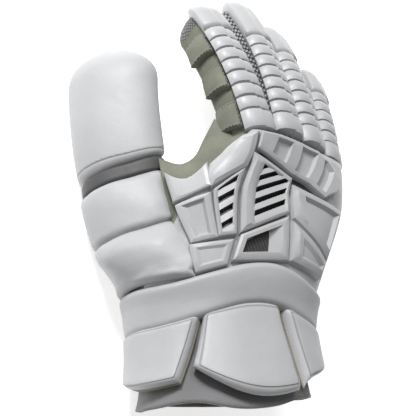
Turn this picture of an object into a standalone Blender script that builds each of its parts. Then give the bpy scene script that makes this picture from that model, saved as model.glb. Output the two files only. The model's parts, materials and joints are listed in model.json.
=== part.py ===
"""A right-hand lacrosse glove, 13 inch size, lying palm down as it rests by itself.

The glove is designed in a hand frame: X across the hand towards the little finger, Y along the
fingers, Z out of the back of the hand, with the origin in the knuckle line between the middle and
the ring finger. One empty then tips the whole glove into the pose in which it rests on a floor.
Lengths are in metres.
"""

import bisect
import math
from dataclasses import dataclass

import bmesh
import bpy
from mathutils import Vector

# Hand part
HAND_LENGTH = 0.200
HAND_HALF_WIDTH = 0.070
HAND_HALF_DEPTH = 0.040
SHELL_LENGTH = 0.128
LINER_WALL = 0.0025
KNUCKLE_WALL = 0.003
PLATE_HEIGHT = 0.008
PLATE_SEAT = 0.0009
PLATE_GAP = 0.0016
PLATE_EDGE = 0.0018
PANEL_DRAFT = 0.001
CLEARANCE = 0.0004
CORE_MARGIN = 0.010
STATION_GAP = 0.004
CUTTER_RISE = 0.004

# Fingers
FINGER_WIDTH = 0.027
FINGER_DEPTH = 0.033
FINGER_WALL = 0.002
FINGER_SQUARENESS = 2.6
FINGER_DOME = 0.014
FINGER_ROOT = 0.006
INDEX_LENGTH = 0.121
MIDDLE_LENGTH = 0.139
RING_LENGTH = 0.131
LITTLE_LENGTH = 0.105
KNUCKLE_BLOCK = 0.016
RIB_PITCH = 0.0105
RIB_HEIGHT = 0.0075
RIB_FOOT = 0.0022
RIB_CHAMFER = 0.0011
SIDE_PAD_THICKNESS = 0.003
SIDE_PAD_LENGTH = 0.0238
SIDE_PAD_EDGE = 0.0012
SIDE_PAD_COUNT = 3
SIDE_PAD_ARC = (-122, -50)

# Thumb
THUMB_TIP = 0.074
THUMB_LENGTH = 0.196
THUMB_WIDTH = 0.051
THUMB_DEPTH = 0.030
THUMB_WALL = 0.002
THUMB_DOME = 0.022
THUMB_PAD = 0.0070
THUMB_STRIPE_PAD = 0.0055
THUMB_ROOT_WIDTH = 0.040

# Cuff
BAND_THICKNESS = 0.0065
BAND_WIDTH = 0.031
BAND_CROWN = 0.0012
CUFF_WALL = 0.002
FLAP_THICKNESS = 0.007
LINING_THICKNESS = 0.0015
CUFF_GAP = 0.0008

# Rest pose
REST_ROLL = math.radians(14.7)
REST_PITCH = math.radians(-2.2)


@dataclass(frozen=True)
class Finish:
    """Colour, roughness and metallic value of one material."""

    name: str
    colour: tuple
    roughness: float
    metallic: float = 0.0


WHITE_LEATHER = Finish("white_leather", (0.80, 0.80, 0.80), 0.55)
WHITE_FOAM = Finish("white_foam", (0.76, 0.76, 0.77), 0.45)
GREY_SUEDE = Finish("grey_suede", (0.27, 0.28, 0.23), 0.9)
GREY_MESH = Finish("grey_mesh", (0.09, 0.09, 0.09), 0.8)
GREY_FABRIC = Finish("grey_fabric", (0.30, 0.30, 0.30), 0.85)
GREY_STRIPE = Finish("grey_stripe", (0.16, 0.16, 0.16), 0.6)
TAN_LINING = Finish("tan_lining", (0.24, 0.21, 0.15), 0.85)


@dataclass(frozen=True)
class Section:
    """One cross section of a limb, as shares of the limb's length, half width and half depth."""

    along: float
    across: float
    up: float
    half_width: float
    half_depth: float
    tilt: float
    squareness: float


HAND_SECTIONS = (
    Section(0.000, 0.000, -0.060, 0.830, 0.500, -5, 4.5),
    Section(0.110, -0.085, -0.125, 0.900, 0.550, 1, 3.2),
    Section(0.225, -0.255, -0.350, 1.015, 0.700, 10, 2.6),
    Section(0.375, -0.390, -0.650, 1.010, 0.900, 17, 2.4),
    Section(0.525, -0.535, -0.912, 1.030, 1.000, 20, 2.3),
    Section(0.640, -0.530, -1.050, 0.945, 1.025, 20, 2.3),
    Section(0.825, -0.558, -1.000, 0.885, 1.075, 20, 2.3),
    Section(1.000, -0.630, -0.900, 0.943, 1.150, 20, 2.3),
)

THUMB_SECTIONS = (
    Section(0.000, -1.500, -1.865, 1.000, 1.000, 49.5, 2.5),
    Section(0.190, -1.528, -1.865, 1.000, 1.000, 49.5, 2.5),
    Section(0.408, -1.500, -1.800, 1.000, 1.000, 49.5, 2.5),
    Section(0.508, -1.467, -1.760, 1.000, 1.000, 49.5, 2.5),
    Section(0.657, -1.448, -1.640, 1.000, 1.000, 49.5, 2.5),
    Section(0.838, -1.328, -1.450, 0.980, 1.000, 49.5, 2.5),
    Section(0.937, -1.171, -1.325, 0.735, 0.867, 45.0, 2.4),
    Section(1.000, -1.029, -1.250, 0.490, 0.667, 40.0, 2.3),
)


@dataclass(frozen=True)
class Finger:
    """One finger stall: root place as shares of the hand, splay, curl and ribs."""

    name: str
    across: float
    along: float
    up: float
    splay: float
    length: float
    roll: float
    curl: float
    ribs: int


FINGER_START_ANGLE = 7.0
FINGERS = (
    Finger("index", -0.621, 0.015, 0.000, -6.0, INDEX_LENGTH, -8.0, 34.0, 7),
    Finger("middle", -0.207, -0.005, 0.0375, 1.0, MIDDLE_LENGTH, -2.0, 34.0, 7),
    Finger("ring", 0.207, 0.005, -0.025, 5.0, RING_LENGTH, 5.0, 34.0, 7),
    Finger("little", 0.614, 0.025, -0.200, 13.0, LITTLE_LENGTH, 12.0, 30.0, 5),
)


def clear_scene():
    """Remove what the scene holds."""
    for item in list(bpy.data.objects):
        bpy.data.objects.remove(item, do_unlink=True)


def new_collection(name, cutters=False):
    """A collection linked to the scene."""
    made = bpy.data.collections.new(name)
    bpy.context.scene.collection.children.link(made)
    made.hide_render = cutters
    return made


def material(finish):
    """The Principled material of a finish."""
    made = bpy.data.materials.get(finish.name)
    if made is None:
        made = bpy.data.materials.new(finish.name)
        made.use_nodes = True
        shader = made.node_tree.nodes["Principled BSDF"]
        shader.inputs["Base Color"].default_value = (*finish.colour, 1.0)
        shader.inputs["Roughness"].default_value = finish.roughness
        shader.inputs["Metallic"].default_value = finish.metallic
        made.diffuse_color = (*finish.colour, 1.0)
    return made


def signed_power(value, power):
    """A power that keeps the sign of the value."""
    return math.copysign(abs(value) ** power, value)


def mix(low, high, share):
    """A value between two values."""
    return low + (high - low) * share


def follow(stops, share):
    """Read a value from a short list of (share, value) stops, straight between them."""
    for (low, first), (high, second) in zip(stops, stops[1:]):
        if share <= high:
            return mix(first, second, (share - low) / (high - low))
    return stops[-1][1]


class Limb:
    """A smooth tube through cross sections that stand square to the Y axis."""

    GIRTH_STEPS = 120

    def __init__(self, sections, start, length, half_width, half_depth, unit_width, unit_depth):
        """Turn the shares of the sections into metres."""
        self.start = start
        self.length = length
        self.stations = [section.along * length for section in sections]
        self.rows = [
            (
                section.across * unit_width,
                section.up * unit_depth,
                section.half_width * half_width,
                section.half_depth * half_depth,
                math.radians(section.tilt),
                section.squareness,
            )
            for section in sections
        ]
        self.girths = {}

    def slope(self, index):
        """The rate of change of the rows at one station."""
        low = max(index - 1, 0)
        high = min(index + 1, len(self.rows) - 1)
        run = self.stations[high] - self.stations[low]
        return [(b - a) / run for a, b in zip(self.rows[low], self.rows[high])]

    def outline(self, along):
        """Centre, half sizes, tilt and squareness at a distance along the limb."""
        along = min(max(along, self.stations[0]), self.stations[-1])
        index = min(bisect.bisect_right(self.stations, along) - 1, len(self.rows) - 2)
        run = self.stations[index + 1] - self.stations[index]
        t = (along - self.stations[index]) / run
        first, second = self.slope(index), self.slope(index + 1)
        return [
            (2 * t**3 - 3 * t**2 + 1) * p0
            + (t**3 - 2 * t**2 + t) * run * m0
            + (3 * t**2 - 2 * t**3) * p1
            + (t**3 - t**2) * run * m1
            for p0, m0, p1, m1 in zip(self.rows[index], first, self.rows[index + 1], second)
        ]

    def point(self, along, turn, lift=0.0, shrink=1.0):
        """The point at a turn from the back of the hand, raised by lift off the skin."""
        across, up, half_width, half_depth, tilt, squareness = self.outline(along)
        side = (half_width + lift) * shrink * signed_power(math.sin(turn), 2 / squareness)
        rise = (half_depth + lift) * shrink * signed_power(math.cos(turn), 2 / squareness)
        return Vector(
            (
                across + side * math.cos(tilt) - rise * math.sin(tilt),
                self.start - along,
                up + side * math.sin(tilt) + rise * math.cos(tilt),
            )
        )

    def turn_at(self, along, girth, lift=PLATE_HEIGHT):
        """The turn at which a tape from the crest, laid at lift, reads girth."""
        key = (round(along, 6), lift)
        if key not in self.girths:
            total, lengths, last = 0.0, [0.0], self.point(along, 0.0, lift)
            for step in range(1, self.GIRTH_STEPS + 1):
                here = self.point(along, math.pi * step / self.GIRTH_STEPS, lift)
                total += (here - last).length
                lengths.append(total)
                last = here
            self.girths[key] = lengths
        lengths = self.girths[key]
        reach = min(abs(girth), lengths[-1] * 0.999)
        index = bisect.bisect_right(lengths, reach) - 1
        share = (reach - lengths[index]) / (lengths[index + 1] - lengths[index])
        return math.copysign(math.pi * (index + share) / self.GIRTH_STEPS, girth)

    def taped(self, along, girth, lift):
        """The point at a girth measured with a tape from the crest."""
        return self.point(along, self.turn_at(along, girth), lift)


HAND = Limb(
    HAND_SECTIONS, 0.0, HAND_LENGTH, HAND_HALF_WIDTH, HAND_HALF_DEPTH, HAND_HALF_WIDTH, HAND_HALF_DEPTH
)
THUMB = Limb(
    THUMB_SECTIONS, THUMB_TIP, THUMB_LENGTH, THUMB_WIDTH / 2, THUMB_DEPTH / 2,
    HAND_HALF_WIDTH, HAND_HALF_DEPTH,
)


class FingerPath:
    """The curled centre line of one finger, with a superellipse section around it."""

    def __init__(self, finger):
        """Take the root and the directions from the finger's row."""
        self.finger = finger
        self.root = Vector(
            (
                finger.across * HAND_HALF_WIDTH,
                -finger.along * HAND_LENGTH,
                finger.up * HAND_HALF_DEPTH,
            )
        )
        splay = math.radians(finger.splay)
        self.ahead = Vector((math.sin(splay), math.cos(splay), 0.0))
        self.bend = math.radians(finger.curl - FINGER_START_ANGLE) / finger.length
        self.low = math.radians(FINGER_START_ANGLE)

    def frame(self, along):
        """Centre, side and up directions at a distance from the root."""
        angle = self.low + self.bend * along
        if along < 0:
            angle = self.low
            reach, drop = along * math.cos(angle), along * math.sin(angle)
        else:
            reach = (math.sin(angle) - math.sin(self.low)) / self.bend
            drop = (math.cos(self.low) - math.cos(angle)) / self.bend
        centre = self.root + self.ahead * reach - Vector((0, 0, drop))
        ahead = self.ahead * math.cos(angle) - Vector((0, 0, math.sin(angle)))
        up = self.ahead * math.sin(angle) + Vector((0, 0, math.cos(angle)))
        side = ahead.cross(up)
        roll = math.radians(self.finger.roll)
        across = side * math.cos(roll) - up * math.sin(roll)
        return centre, across, up * math.cos(roll) + side * math.sin(roll)

    def point(self, along, turn, lift=0.0, shrink=1.0):
        """The point at a turn from the back of the finger, raised by lift off the stall."""
        centre, side, up = self.frame(along)
        power = 2 / FINGER_SQUARENESS
        wide = (FINGER_WIDTH / 2 + lift) * shrink * signed_power(math.sin(turn), power)
        high = (FINGER_DEPTH / 2 + lift) * shrink * signed_power(math.cos(turn), power)
        return centre + side * wide + up * high


PATHS = {finger.name: FingerPath(finger) for finger in FINGERS}


class Workshop:
    """Makes the objects and keeps them in their collections."""

    def __init__(self):
        """Open the two collections and the empty that carries the pieces."""
        self.parts = new_collection("lacrosse_glove")
        self.cutters = new_collection("cutters", cutters=True)
        self.rest = bpy.data.objects.new("glove_rest", None)
        self.parts.objects.link(self.rest)

    def add(self, name, mesh, finish):
        """A named piece with its finish."""
        made = bpy.data.objects.new(name, mesh)
        self.parts.objects.link(made)
        made.parent = self.rest
        mesh.materials.append(material(finish))
        mesh.shade_smooth()
        mesh.set_sharp_from_angle(angle=math.radians(35))
        return made

    def cutter(self, name, mesh):
        """A hidden object that only cuts."""
        made = bpy.data.objects.new(name, mesh)
        self.cutters.objects.link(made)
        made.parent = self.rest
        made.hide_render = True
        made.display_type = "WIRE"
        return made

    @staticmethod
    def cut(piece, *cutters):
        """Cut the piece with each cutter."""
        for cutter in cutters:
            boolean = piece.modifiers.new(f"cut_{cutter.name}", "BOOLEAN")
            boolean.operation = "DIFFERENCE"
            boolean.object = cutter


def finish_mesh(name, shape):
    """Turn the normals outwards and make the mesh."""
    bmesh.ops.recalc_face_normals(shape, faces=shape.faces)
    if shape.calc_volume(signed=True) < 0:
        bmesh.ops.reverse_faces(shape, faces=shape.faces)
    mesh = bpy.data.meshes.new(name)
    shape.to_mesh(mesh)
    shape.free()
    return mesh


def loft(name, rings):
    """A closed solid through rings of equal count, with a flat face on each end ring."""
    shape = bmesh.new()
    rows = [[shape.verts.new(point) for point in ring] for ring in rings]
    for low, high in zip(rows, rows[1:]):
        for index in range(len(low)):
            after = (index + 1) % len(low)
            shape.faces.new((low[index], low[after], high[after], high[index]))
    shape.faces.new(rows[0])
    shape.faces.new(rows[-1])
    return finish_mesh(name, shape)


def block(name, columns, rows, place):
    """A slab of columns by rows cells; place(u, v, w) puts each corner, w 0 below and 1 on top."""
    shape = bmesh.new()
    bmesh.ops.create_grid(shape, x_segments=columns, y_segments=rows, size=0.5)
    top = bmesh.ops.extrude_face_region(shape, geom=shape.faces[:])
    raised = {item for item in top["geom"] if isinstance(item, bmesh.types.BMVert)}
    for vert in shape.verts:
        u, v = vert.co.x + 0.5, vert.co.y + 0.5
        vert.co = place(u, v, 1.0 if vert in raised else 0.0)
    return finish_mesh(name, shape)


def around(count):
    """Turns all the way round."""
    return [2 * math.pi * step / count for step in range(count)]


def spread(low, high, count):
    """Evenly spaced values from low to high."""
    return [mix(low, high, step / (count - 1)) for step in range(count)]


def dome_stops(length, dome, steps=(0.0, 0.45, 0.8, 0.97)):
    """Distance and shrink of the rings that round off a tip."""
    return [(length - dome + dome * step, math.sqrt(1 - step**2)) for step in steps]


# Inner glove

HAND_SIDES = 28
FINGER_SIDES = 12
THUMB_SIDES = 16


def hand_volume(name, start, end, lift):
    """The hand's volume between two distances along it."""
    inner = [s for s in spread(0.0, SHELL_LENGTH, 8) if start + STATION_GAP < s < end - STATION_GAP]
    stations = [start, *inner, end]
    return loft(name, [[HAND.point(s, turn, lift) for turn in around(HAND_SIDES)] for s in stations])


def finger_volume(name, path, root, lift):
    """One finger's volume from root to tip, closed by a dome."""
    length = path.finger.length + lift
    stations = [(s, 1.0) for s in (-root, *spread(0.0, length - FINGER_DOME, 6)[1:-1])]
    stations += dome_stops(length, FINGER_DOME)
    turns = around(FINGER_SIDES)
    return loft(name, [[path.point(s, turn, lift, shrink) for turn in turns] for s, shrink in stations])


def thumb_volume(name, lift):
    """The thumb's volume; the distance runs from its tip to its root in the hand."""
    steps = (0.97, 0.8, 0.45)
    stations = [(THUMB_DOME * (1 - step) - lift * step, math.sqrt(1 - step**2)) for step in steps]
    stations += [(s, 1.0) for s in spread(THUMB_DOME, THUMB_LENGTH, 9)]
    turns = around(THUMB_SIDES)
    return loft(name, [[THUMB.point(s, turn, lift, shrink) for turn in turns] for s, shrink in stations])


def knuckle_cutter(shop):
    """Everything behind the knuckle line, where the finger pieces end."""
    shape = bmesh.new()
    bmesh.ops.create_cube(shape, size=1.0)
    reach = HAND_HALF_WIDTH * 4
    bmesh.ops.scale(shape, vec=(reach, reach, reach), verts=shape.verts)
    bmesh.ops.translate(shape, vec=(0.0, CLEARANCE - reach / 2, 0.0), verts=shape.verts)
    return shop.cutter("knuckle_line", finish_mesh("knuckle_line", shape))


def inner_glove(shop, knuckle_line):
    """Palm shell, finger stalls and thumb stall, hollow and open into each other."""
    core_end = SHELL_LENGTH + CORE_MARGIN
    hand_core = shop.cutter("hand_core", hand_volume("hand_core", -CLEARANCE, core_end, CLEARANCE))
    hand_bore = shop.cutter("hand_bore", hand_volume("hand_bore", KNUCKLE_WALL, core_end, -LINER_WALL))
    thumb_core = shop.cutter("thumb_core", thumb_volume("thumb_core", CLEARANCE))
    thumb_bore = shop.cutter("thumb_bore", thumb_volume("thumb_bore", -THUMB_WALL))
    shell = shop.add("palm_shell", hand_volume("palm_shell", 0.0, SHELL_LENGTH, 0.0), WHITE_LEATHER)
    shop.cut(shell, hand_bore, thumb_bore)
    for path in PATHS.values():
        name = path.finger.name
        hollow = finger_volume(f"{name}_bore", path, FINGER_ROOT * 2, -FINGER_WALL)
        bore = shop.cutter(f"{name}_bore", hollow)
        stall = finger_volume(f"{name}_sheath", path, FINGER_ROOT, 0.0)
        sheath = shop.add(f"{name}_sheath", stall, GREY_MESH)
        shop.cut(sheath, bore, knuckle_line)
        shop.cut(shell, bore)
    thumb = shop.add("thumb_sheath", thumb_volume("thumb_sheath", 0.0), GREY_SUEDE)
    shop.cut(thumb, thumb_bore, hand_core)
    thumb_skin = shop.cutter("thumb_skin", thumb_volume("thumb_skin", THUMB_PAD + 2 * CLEARANCE))
    return hand_core, thumb_core, thumb_skin


# Finger padding

ROLL_UNDER = (58, 30, 0, -30, -44)
RIB_NOTCH = (22, 0.80)
RIB_PROFILE = ((-47, 0.10), (-42, 0.95), (12, 1.0), RIB_NOTCH, (32, 1.0), (50, 0.85), (62, 0.10))
TIP_PROFILE = ((-47, 0.25), (-42, 1.0), (-28, 1.0), (12, 1.0), (50, 1.0), (62, 0.25))
TIP_PAD_DIP = 0.55


def roll_ring(path, along, height):
    """A ring of a finger roll: over the ribs' top and back along the stall."""
    over = [
        path.point(along, math.radians(turn), mix(RIB_FOOT, height, share)) for turn, share in RIB_PROFILE
    ]
    under = [path.point(along, math.radians(turn), CLEARANCE) for turn in ROLL_UNDER]
    return over + under


def roll_end(finger):
    """Where the last rib ends and the tip pad starts."""
    return KNUCKLE_BLOCK + finger.ribs * RIB_PITCH


def finger_roll(shop, path, knuckle_line):
    """The knuckle block and the ribs of one finger, on one foot."""
    edges = [CLEARANCE] + [KNUCKLE_BLOCK + rib * RIB_PITCH for rib in range(path.finger.ribs + 1)]
    rings = []
    for start, end in zip(edges, edges[1:]):
        rings.append(roll_ring(path, start, RIB_FOOT))
        rings.append(roll_ring(path, start + RIB_CHAMFER, RIB_HEIGHT))
        rings.append(roll_ring(path, end - RIB_CHAMFER, RIB_HEIGHT))
    rings.append(roll_ring(path, edges[-1], RIB_FOOT))
    made = shop.add(f"{path.finger.name}_roll", loft(f"{path.finger.name}_roll", rings), WHITE_FOAM)
    shop.cut(made, knuckle_line)


def tip_pad(shop, path):
    """The smooth pad from the last rib over the finger tip."""
    length = path.finger.length
    start = roll_end(path.finger) + 2 * CLEARANCE
    stops = [(start, 1.0, 0.3), (start + RIB_CHAMFER, 1.0, 1.0)]
    stops += [(s, 1.0, 1.0) for s in spread(start, length - FINGER_DOME, 4)[1:-1]]
    dome = dome_stops(length, FINGER_DOME, (0.0, 0.45, 0.8))
    stops += [(s, shrink, mix(TIP_PAD_DIP, 1.0, shrink)) for s, shrink in dome]

    def ring(along, shrink, share):
        lift = mix(RIB_FOOT, RIB_HEIGHT, share)
        over = [
            path.point(along, math.radians(turn), mix(CLEARANCE, lift, high), shrink)
            for turn, high in TIP_PROFILE
        ]
        under = [path.point(along, math.radians(turn), CLEARANCE, shrink) for turn in ROLL_UNDER]
        return over + under

    rings = [ring(*stop) for stop in stops]
    shop.add(f"{path.finger.name}_tip_pad", loft(f"{path.finger.name}_tip_pad", rings), WHITE_FOAM)


def side_pads(shop, path):
    """The three flex pads on the thumb side of the index finger."""
    first = KNUCKLE_BLOCK * 0.5
    pitch = (path.finger.length - FINGER_DOME - first) / SIDE_PAD_COUNT

    for number in range(SIDE_PAD_COUNT):
        start = first + number * pitch

        def place(u, v, w, start=start):
            turn = math.radians(mix(*SIDE_PAD_ARC, u))
            lift = CLEARANCE * 1.5 + SIDE_PAD_THICKNESS * w
            edge = SIDE_PAD_EDGE * w
            return path.point(start + mix(edge, SIDE_PAD_LENGTH - edge, v), turn, lift)

        name = f"index_side_pad_{number + 1}"
        shop.add(name, block(name, 4, 2, place), GREY_SUEDE)


# Backhand plates


@dataclass(frozen=True)
class Plate:
    """A plate on the back of the hand.

    Corners are (girth, along) shares of the half width and the length of the hand, in the order
    wrist side at the thumb, wrist side at the little finger, finger side at the little finger,
    finger side at the thumb. Sunk is the depth share of its panel.
    """

    name: str
    corners: tuple
    columns: int = 4
    rows: int = 3
    sunk: float = 0.0
    panel: tuple = (0.18, 0.82, 0.18, 0.82)


PLATES = (
    Plate("upper_radial_plate", ((-0.93, 0.232), (-0.74, 0.148), (-0.86, 0.028), (-1.17, 0.125)), 6, 4),
    Plate("middle_radial_plate", ((-0.80, 0.425), (-0.57, 0.405), (-0.90, 0.250), (-1.20, 0.285)), 4, 4,
          0.35),
    Plate("lower_radial_plate", ((-0.60, 0.520), (-0.30, 0.490), (-0.37, 0.420), (-0.78, 0.440)), 4, 2),
    Plate("radial_vent_plate", ((-0.54, 0.400), (-0.40, 0.392), (-0.72, 0.165), (-0.86, 0.240)), 2, 4),
    Plate("centre_vent_plate", ((-0.33, 0.375), (0.09, 0.292), (-0.12, 0.160), (-0.68, 0.105)), 4, 4),
    Plate("wrist_plate", ((-0.25, 0.476), (0.34, 0.462), (0.12, 0.306), (-0.30, 0.398)), 4, 3),
    Plate("upper_ulnar_plate", ((0.20, 0.310), (0.94, 0.440), (0.88, 0.240), (-0.05, 0.178)), 6, 4,
          0.35, (0.26, 0.66, 0.25, 0.85)),
    Plate("lower_ulnar_plate", ((0.38, 0.462), (0.96, 0.500), (0.94, 0.452), (0.20, 0.322)), 5, 3),
)


MOST_INSET = 0.3
PLATE_INSET = (PLATE_GAP / 2, PLATE_GAP / 2 + PLATE_EDGE)
WRIST_WINDOW = (0.25, 0.80, 0.28, 0.80)
SLOT_COUNT = 4
SLOT_FIELD = (0.14, 0.86)
SLOT_SPAN = (0.22, 0.78)
SLOT_PITCH_SHARES = (0.18, 0.72)


def inset_share(share, edge, length):
    """Pull a share of a side in by the same real width at both ends."""
    margin = min(edge / length, MOST_INSET)
    return mix(margin, 1 - margin, share)


def plate_spot(plate, u, v, edge):
    """Girth and distance along the hand of a spot on the plate, pulled in by edge."""
    corners = [(girth * HAND_HALF_WIDTH, along * HAND_LENGTH) for girth, along in plate.corners]
    wide = max(abs(corners[1][0] - corners[0][0]), abs(corners[2][0] - corners[3][0]))
    long = max(abs(corners[3][1] - corners[0][1]), abs(corners[2][1] - corners[1][1]))
    u, v = inset_share(u, edge, wide), inset_share(v, edge, long)
    spots = []
    for axis in (0, 1):
        low = mix(corners[0][axis], corners[1][axis], u)
        high = mix(corners[3][axis], corners[2][axis], u)
        spots.append(mix(low, high, v))
    return spots


def plate_block(name, plate, lifts, cells, edges, window=(0, 1, 0, 1)):
    """A block over part of a plate's outline between two lifts, drawn in by an edge at each."""

    def place(u, v, w):
        u = mix(window[0], window[1], u)
        v = mix(window[2], window[3], v)
        girth, along = plate_spot(plate, u, v, mix(*edges, w))
        return HAND.taped(along, girth, mix(*lifts, w))

    return block(name, *cells, place)


def backhand(shop):
    """All the plates between the knuckle bar and the band."""
    through = (0.0, PLATE_HEIGHT + CUTTER_RISE)
    for plate in PLATES:
        cells = (plate.columns, plate.rows)
        mesh = plate_block(plate.name, plate, (PLATE_SEAT, PLATE_HEIGHT), cells, PLATE_INSET)
        made = shop.add(plate.name, mesh, WHITE_FOAM)
        if plate.sunk:
            name = f"{plate.name}_panel"
            lifts = (PLATE_HEIGHT * (1 - plate.sunk), PLATE_HEIGHT + CUTTER_RISE)
            panel = plate_block(name, plate, lifts, (2, 2), (PANEL_DRAFT, 0.0), plate.panel)
            shop.cut(made, shop.cutter(name, panel))
        if plate.name.endswith("vent_plate"):
            cut_slots(shop, made, plate, through)
        if plate.name == "wrist_plate":
            window = plate_block("wrist_window", plate, through, (2, 2), (0.0, 0.0), WRIST_WINDOW)
            shop.cut(made, shop.cutter("wrist_window", window))


def cut_slots(shop, piece, plate, through):
    """Cut the row of slots of a vent plate, right through it."""
    for number in range(SLOT_COUNT):
        low, high = (mix(*SLOT_FIELD, (number + share) / SLOT_COUNT) for share in SLOT_PITCH_SHARES)
        name = f"{plate.name}_slot_{number + 1}"
        slot = plate_block(name, plate, through, (2, 1), (0.0, 0.0), (*SLOT_SPAN, low, high))
        shop.cut(piece, shop.cutter(name, slot))


BAR_TOP = ((0.0, 0.030), (0.45, 0.022), (0.75, 0.045), (1.0, 0.130))
BAR_BOTTOM = ((0.0, 0.088), (0.35, 0.112), (0.6, 0.145), (1.0, 0.203))
BAR_GIRTH_TOP = (-0.83, 0.62)
BAR_GIRTH_BOTTOM = (-0.76, 0.46)
BAR_HEIGHT = PLATE_HEIGHT * 1.15
BAR_PANELS = ((0.16, 0.36), (0.46, 0.65), (0.74, 0.90))
BAR_PANEL_ROWS = (0.22, 0.82)
BAR_PANEL_FLOOR = 0.6


def bar_spot(u, v, edge):
    """Girth and distance along the hand on the knuckle bar."""
    wide = (BAR_GIRTH_TOP[1] - BAR_GIRTH_TOP[0]) * HAND_HALF_WIDTH
    u = inset_share(u, edge, wide)
    v = inset_share(v, edge, (BAR_BOTTOM[0][1] - BAR_TOP[0][1]) * HAND_LENGTH)
    along = mix(follow(BAR_BOTTOM, u), follow(BAR_TOP, u), v) * HAND_LENGTH
    girth = mix(mix(*BAR_GIRTH_BOTTOM, u), mix(*BAR_GIRTH_TOP, u), v) * HAND_HALF_WIDTH
    return girth, along


def knuckle_bar(shop):
    """The bar across the knuckles, with its three sunk panels."""

    def solid(lifts, edges, window):
        def place(u, v, w):
            u = mix(window[0], window[1], u)
            v = mix(window[2], window[3], v)
            girth, along = bar_spot(u, v, mix(*edges, w))
            return HAND.taped(along, girth, mix(*lifts, w))

        return place

    whole = solid((PLATE_SEAT, BAR_HEIGHT), (0.0, PLATE_EDGE), (0, 1, 0, 1))
    bar = shop.add("knuckle_bar", block("knuckle_bar", 12, 2, whole), WHITE_FOAM)
    lifts = (BAR_HEIGHT * BAR_PANEL_FLOOR, BAR_HEIGHT + CUTTER_RISE)
    for number, sides in enumerate(BAR_PANELS):
        name = f"bar_panel_{number + 1}"
        panel = block(name, 2, 1, solid(lifts, (PANEL_DRAFT, 0.0), (*sides, *BAR_PANEL_ROWS)))
        shop.cut(bar, shop.cutter(name, panel))


# Web between thumb and index finger

WEB_OUT = Vector((-0.76, 0.0, 0.65))
WEB_THICKNESS = 0.003
WEB_PLATE_HEIGHT = 0.0080
WEB_PLATE_DIP = 0.008
WEB_PLATE_ROOT = 0.006
WEB_PLATE_EDGE = 0.08
WEB_SEAT_DEPTH = 0.020
WEB_SEAT_MARGIN = 0.05


@dataclass(frozen=True)
class WebStation:
    """The web's outer face at one place between thumb and index finger.

    The free edge and the sewn edge are shares of the hand's half width, length and half depth.
    """

    free: tuple
    sewn: tuple


WEB_STATIONS = (
    WebStation((-1.41, 0.085, -0.95), (-1.33, 0.330, -0.80)),
    WebStation((-1.33, 0.118, -0.74), (-1.30, 0.310, -0.62)),
    WebStation((-1.24, 0.117, -0.63), (-1.22, 0.270, -0.44)),
    WebStation((-1.12, 0.085, -0.53), (-1.10, 0.230, -0.28)),
    WebStation((-1.02, 0.020, -0.47), (-0.98, 0.150, -0.10)),
    WebStation((-0.86, -0.065, -0.40), (-0.78, 0.020, 0.05)),
)
WEB_PLATE_CORNERS = (
    (-1.350, 0.275, -0.70),
    (-1.130, 0.225, -0.10),
    (-1.125, 0.128, -0.20),
    (-1.400, 0.150, -0.84),
)


def hand_shares(shares):
    """A place given as shares of the hand, in metres."""
    return Vector((shares[0] * HAND_HALF_WIDTH, -shares[1] * HAND_LENGTH, shares[2] * HAND_HALF_DEPTH))


def web(shop, hand_core, thumb_core, thumb_skin):
    """The suede web and the plate on it."""

    def gusset_place(u, v, w):
        reach = u * (len(WEB_STATIONS) - 1)
        index = min(int(reach), len(WEB_STATIONS) - 2)
        first, second = WEB_STATIONS[index], WEB_STATIONS[index + 1]
        free = hand_shares(first.free).lerp(hand_shares(second.free), reach - index)
        sewn = hand_shares(first.sewn).lerp(hand_shares(second.sewn), reach - index)
        return sewn.lerp(free, v) - WEB_OUT * (WEB_THICKNESS * (1 - w))

    gusset = shop.add("web_gusset", block("web_gusset", 10, 3, gusset_place), GREY_SUEDE)
    index_lift = SIDE_PAD_THICKNESS + 3 * CLEARANCE
    index_volume = finger_volume("index_skin", PATHS["index"], FINGER_ROOT, index_lift)
    shop.cut(gusset, hand_core, thumb_core, shop.cutter("index_skin", index_volume))
    corners = [hand_shares(corner) for corner in WEB_PLATE_CORNERS]

    def seat_place(u, v, w):
        spot = gusset_place(u, mix(-WEB_SEAT_MARGIN, 1 + WEB_SEAT_MARGIN, v), 1.0)
        return spot + WEB_OUT * mix(-WEB_SEAT_DEPTH, CLEARANCE, w)

    seat = shop.cutter("web_seat", block("web_seat", 10, 3, seat_place))

    def plate_place(u, v, w):
        edge = WEB_PLATE_EDGE * w
        across, up = mix(edge / 2, 1.0 - edge / 2, u), mix(edge, 1.0 - edge, v)
        low = corners[0].lerp(corners[1], across)
        high = corners[3].lerp(corners[2], across)
        high.y -= WEB_PLATE_DIP * math.sin(math.pi * across)
        return low.lerp(high, up) + WEB_OUT * mix(-WEB_PLATE_ROOT, WEB_PLATE_HEIGHT, w)

    plate = shop.add("web_plate", block("web_plate", 4, 2, plate_place), WHITE_FOAM)
    shop.cut(plate, hand_core, thumb_skin, seat)


# Thumb padding


@dataclass(frozen=True)
class ThumbPad:
    """A pad on the back of the thumb: distances from the tip as shares of the thumb's length."""

    name: str
    start: float
    end: float
    lift: float
    finish: Finish


THUMB_ARC = (-108.0, 90.0)
THUMB_ARC_STEPS = 11
THUMB_EDGE_SHARE = 0.25
THUMB_SLANT = 0.05
TIP_PAD_END = 0.487
TIP_PAD_STEPS = (0.93, 0.75, 0.42)
TIP_PAD_OVERHANG = 0.6
PAD_CROWN = ((0.0, 0.3), (0.12, 1.0), (0.5, 1.05), (0.88, 1.0), (1.0, 0.3))
THUMB_PADS = (
    ThumbPad("thumb_stripe", 0.492, 0.536, THUMB_STRIPE_PAD, GREY_STRIPE),
    ThumbPad("thumb_mid_pad", 0.541, 0.735, THUMB_PAD, WHITE_LEATHER),
)


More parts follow.
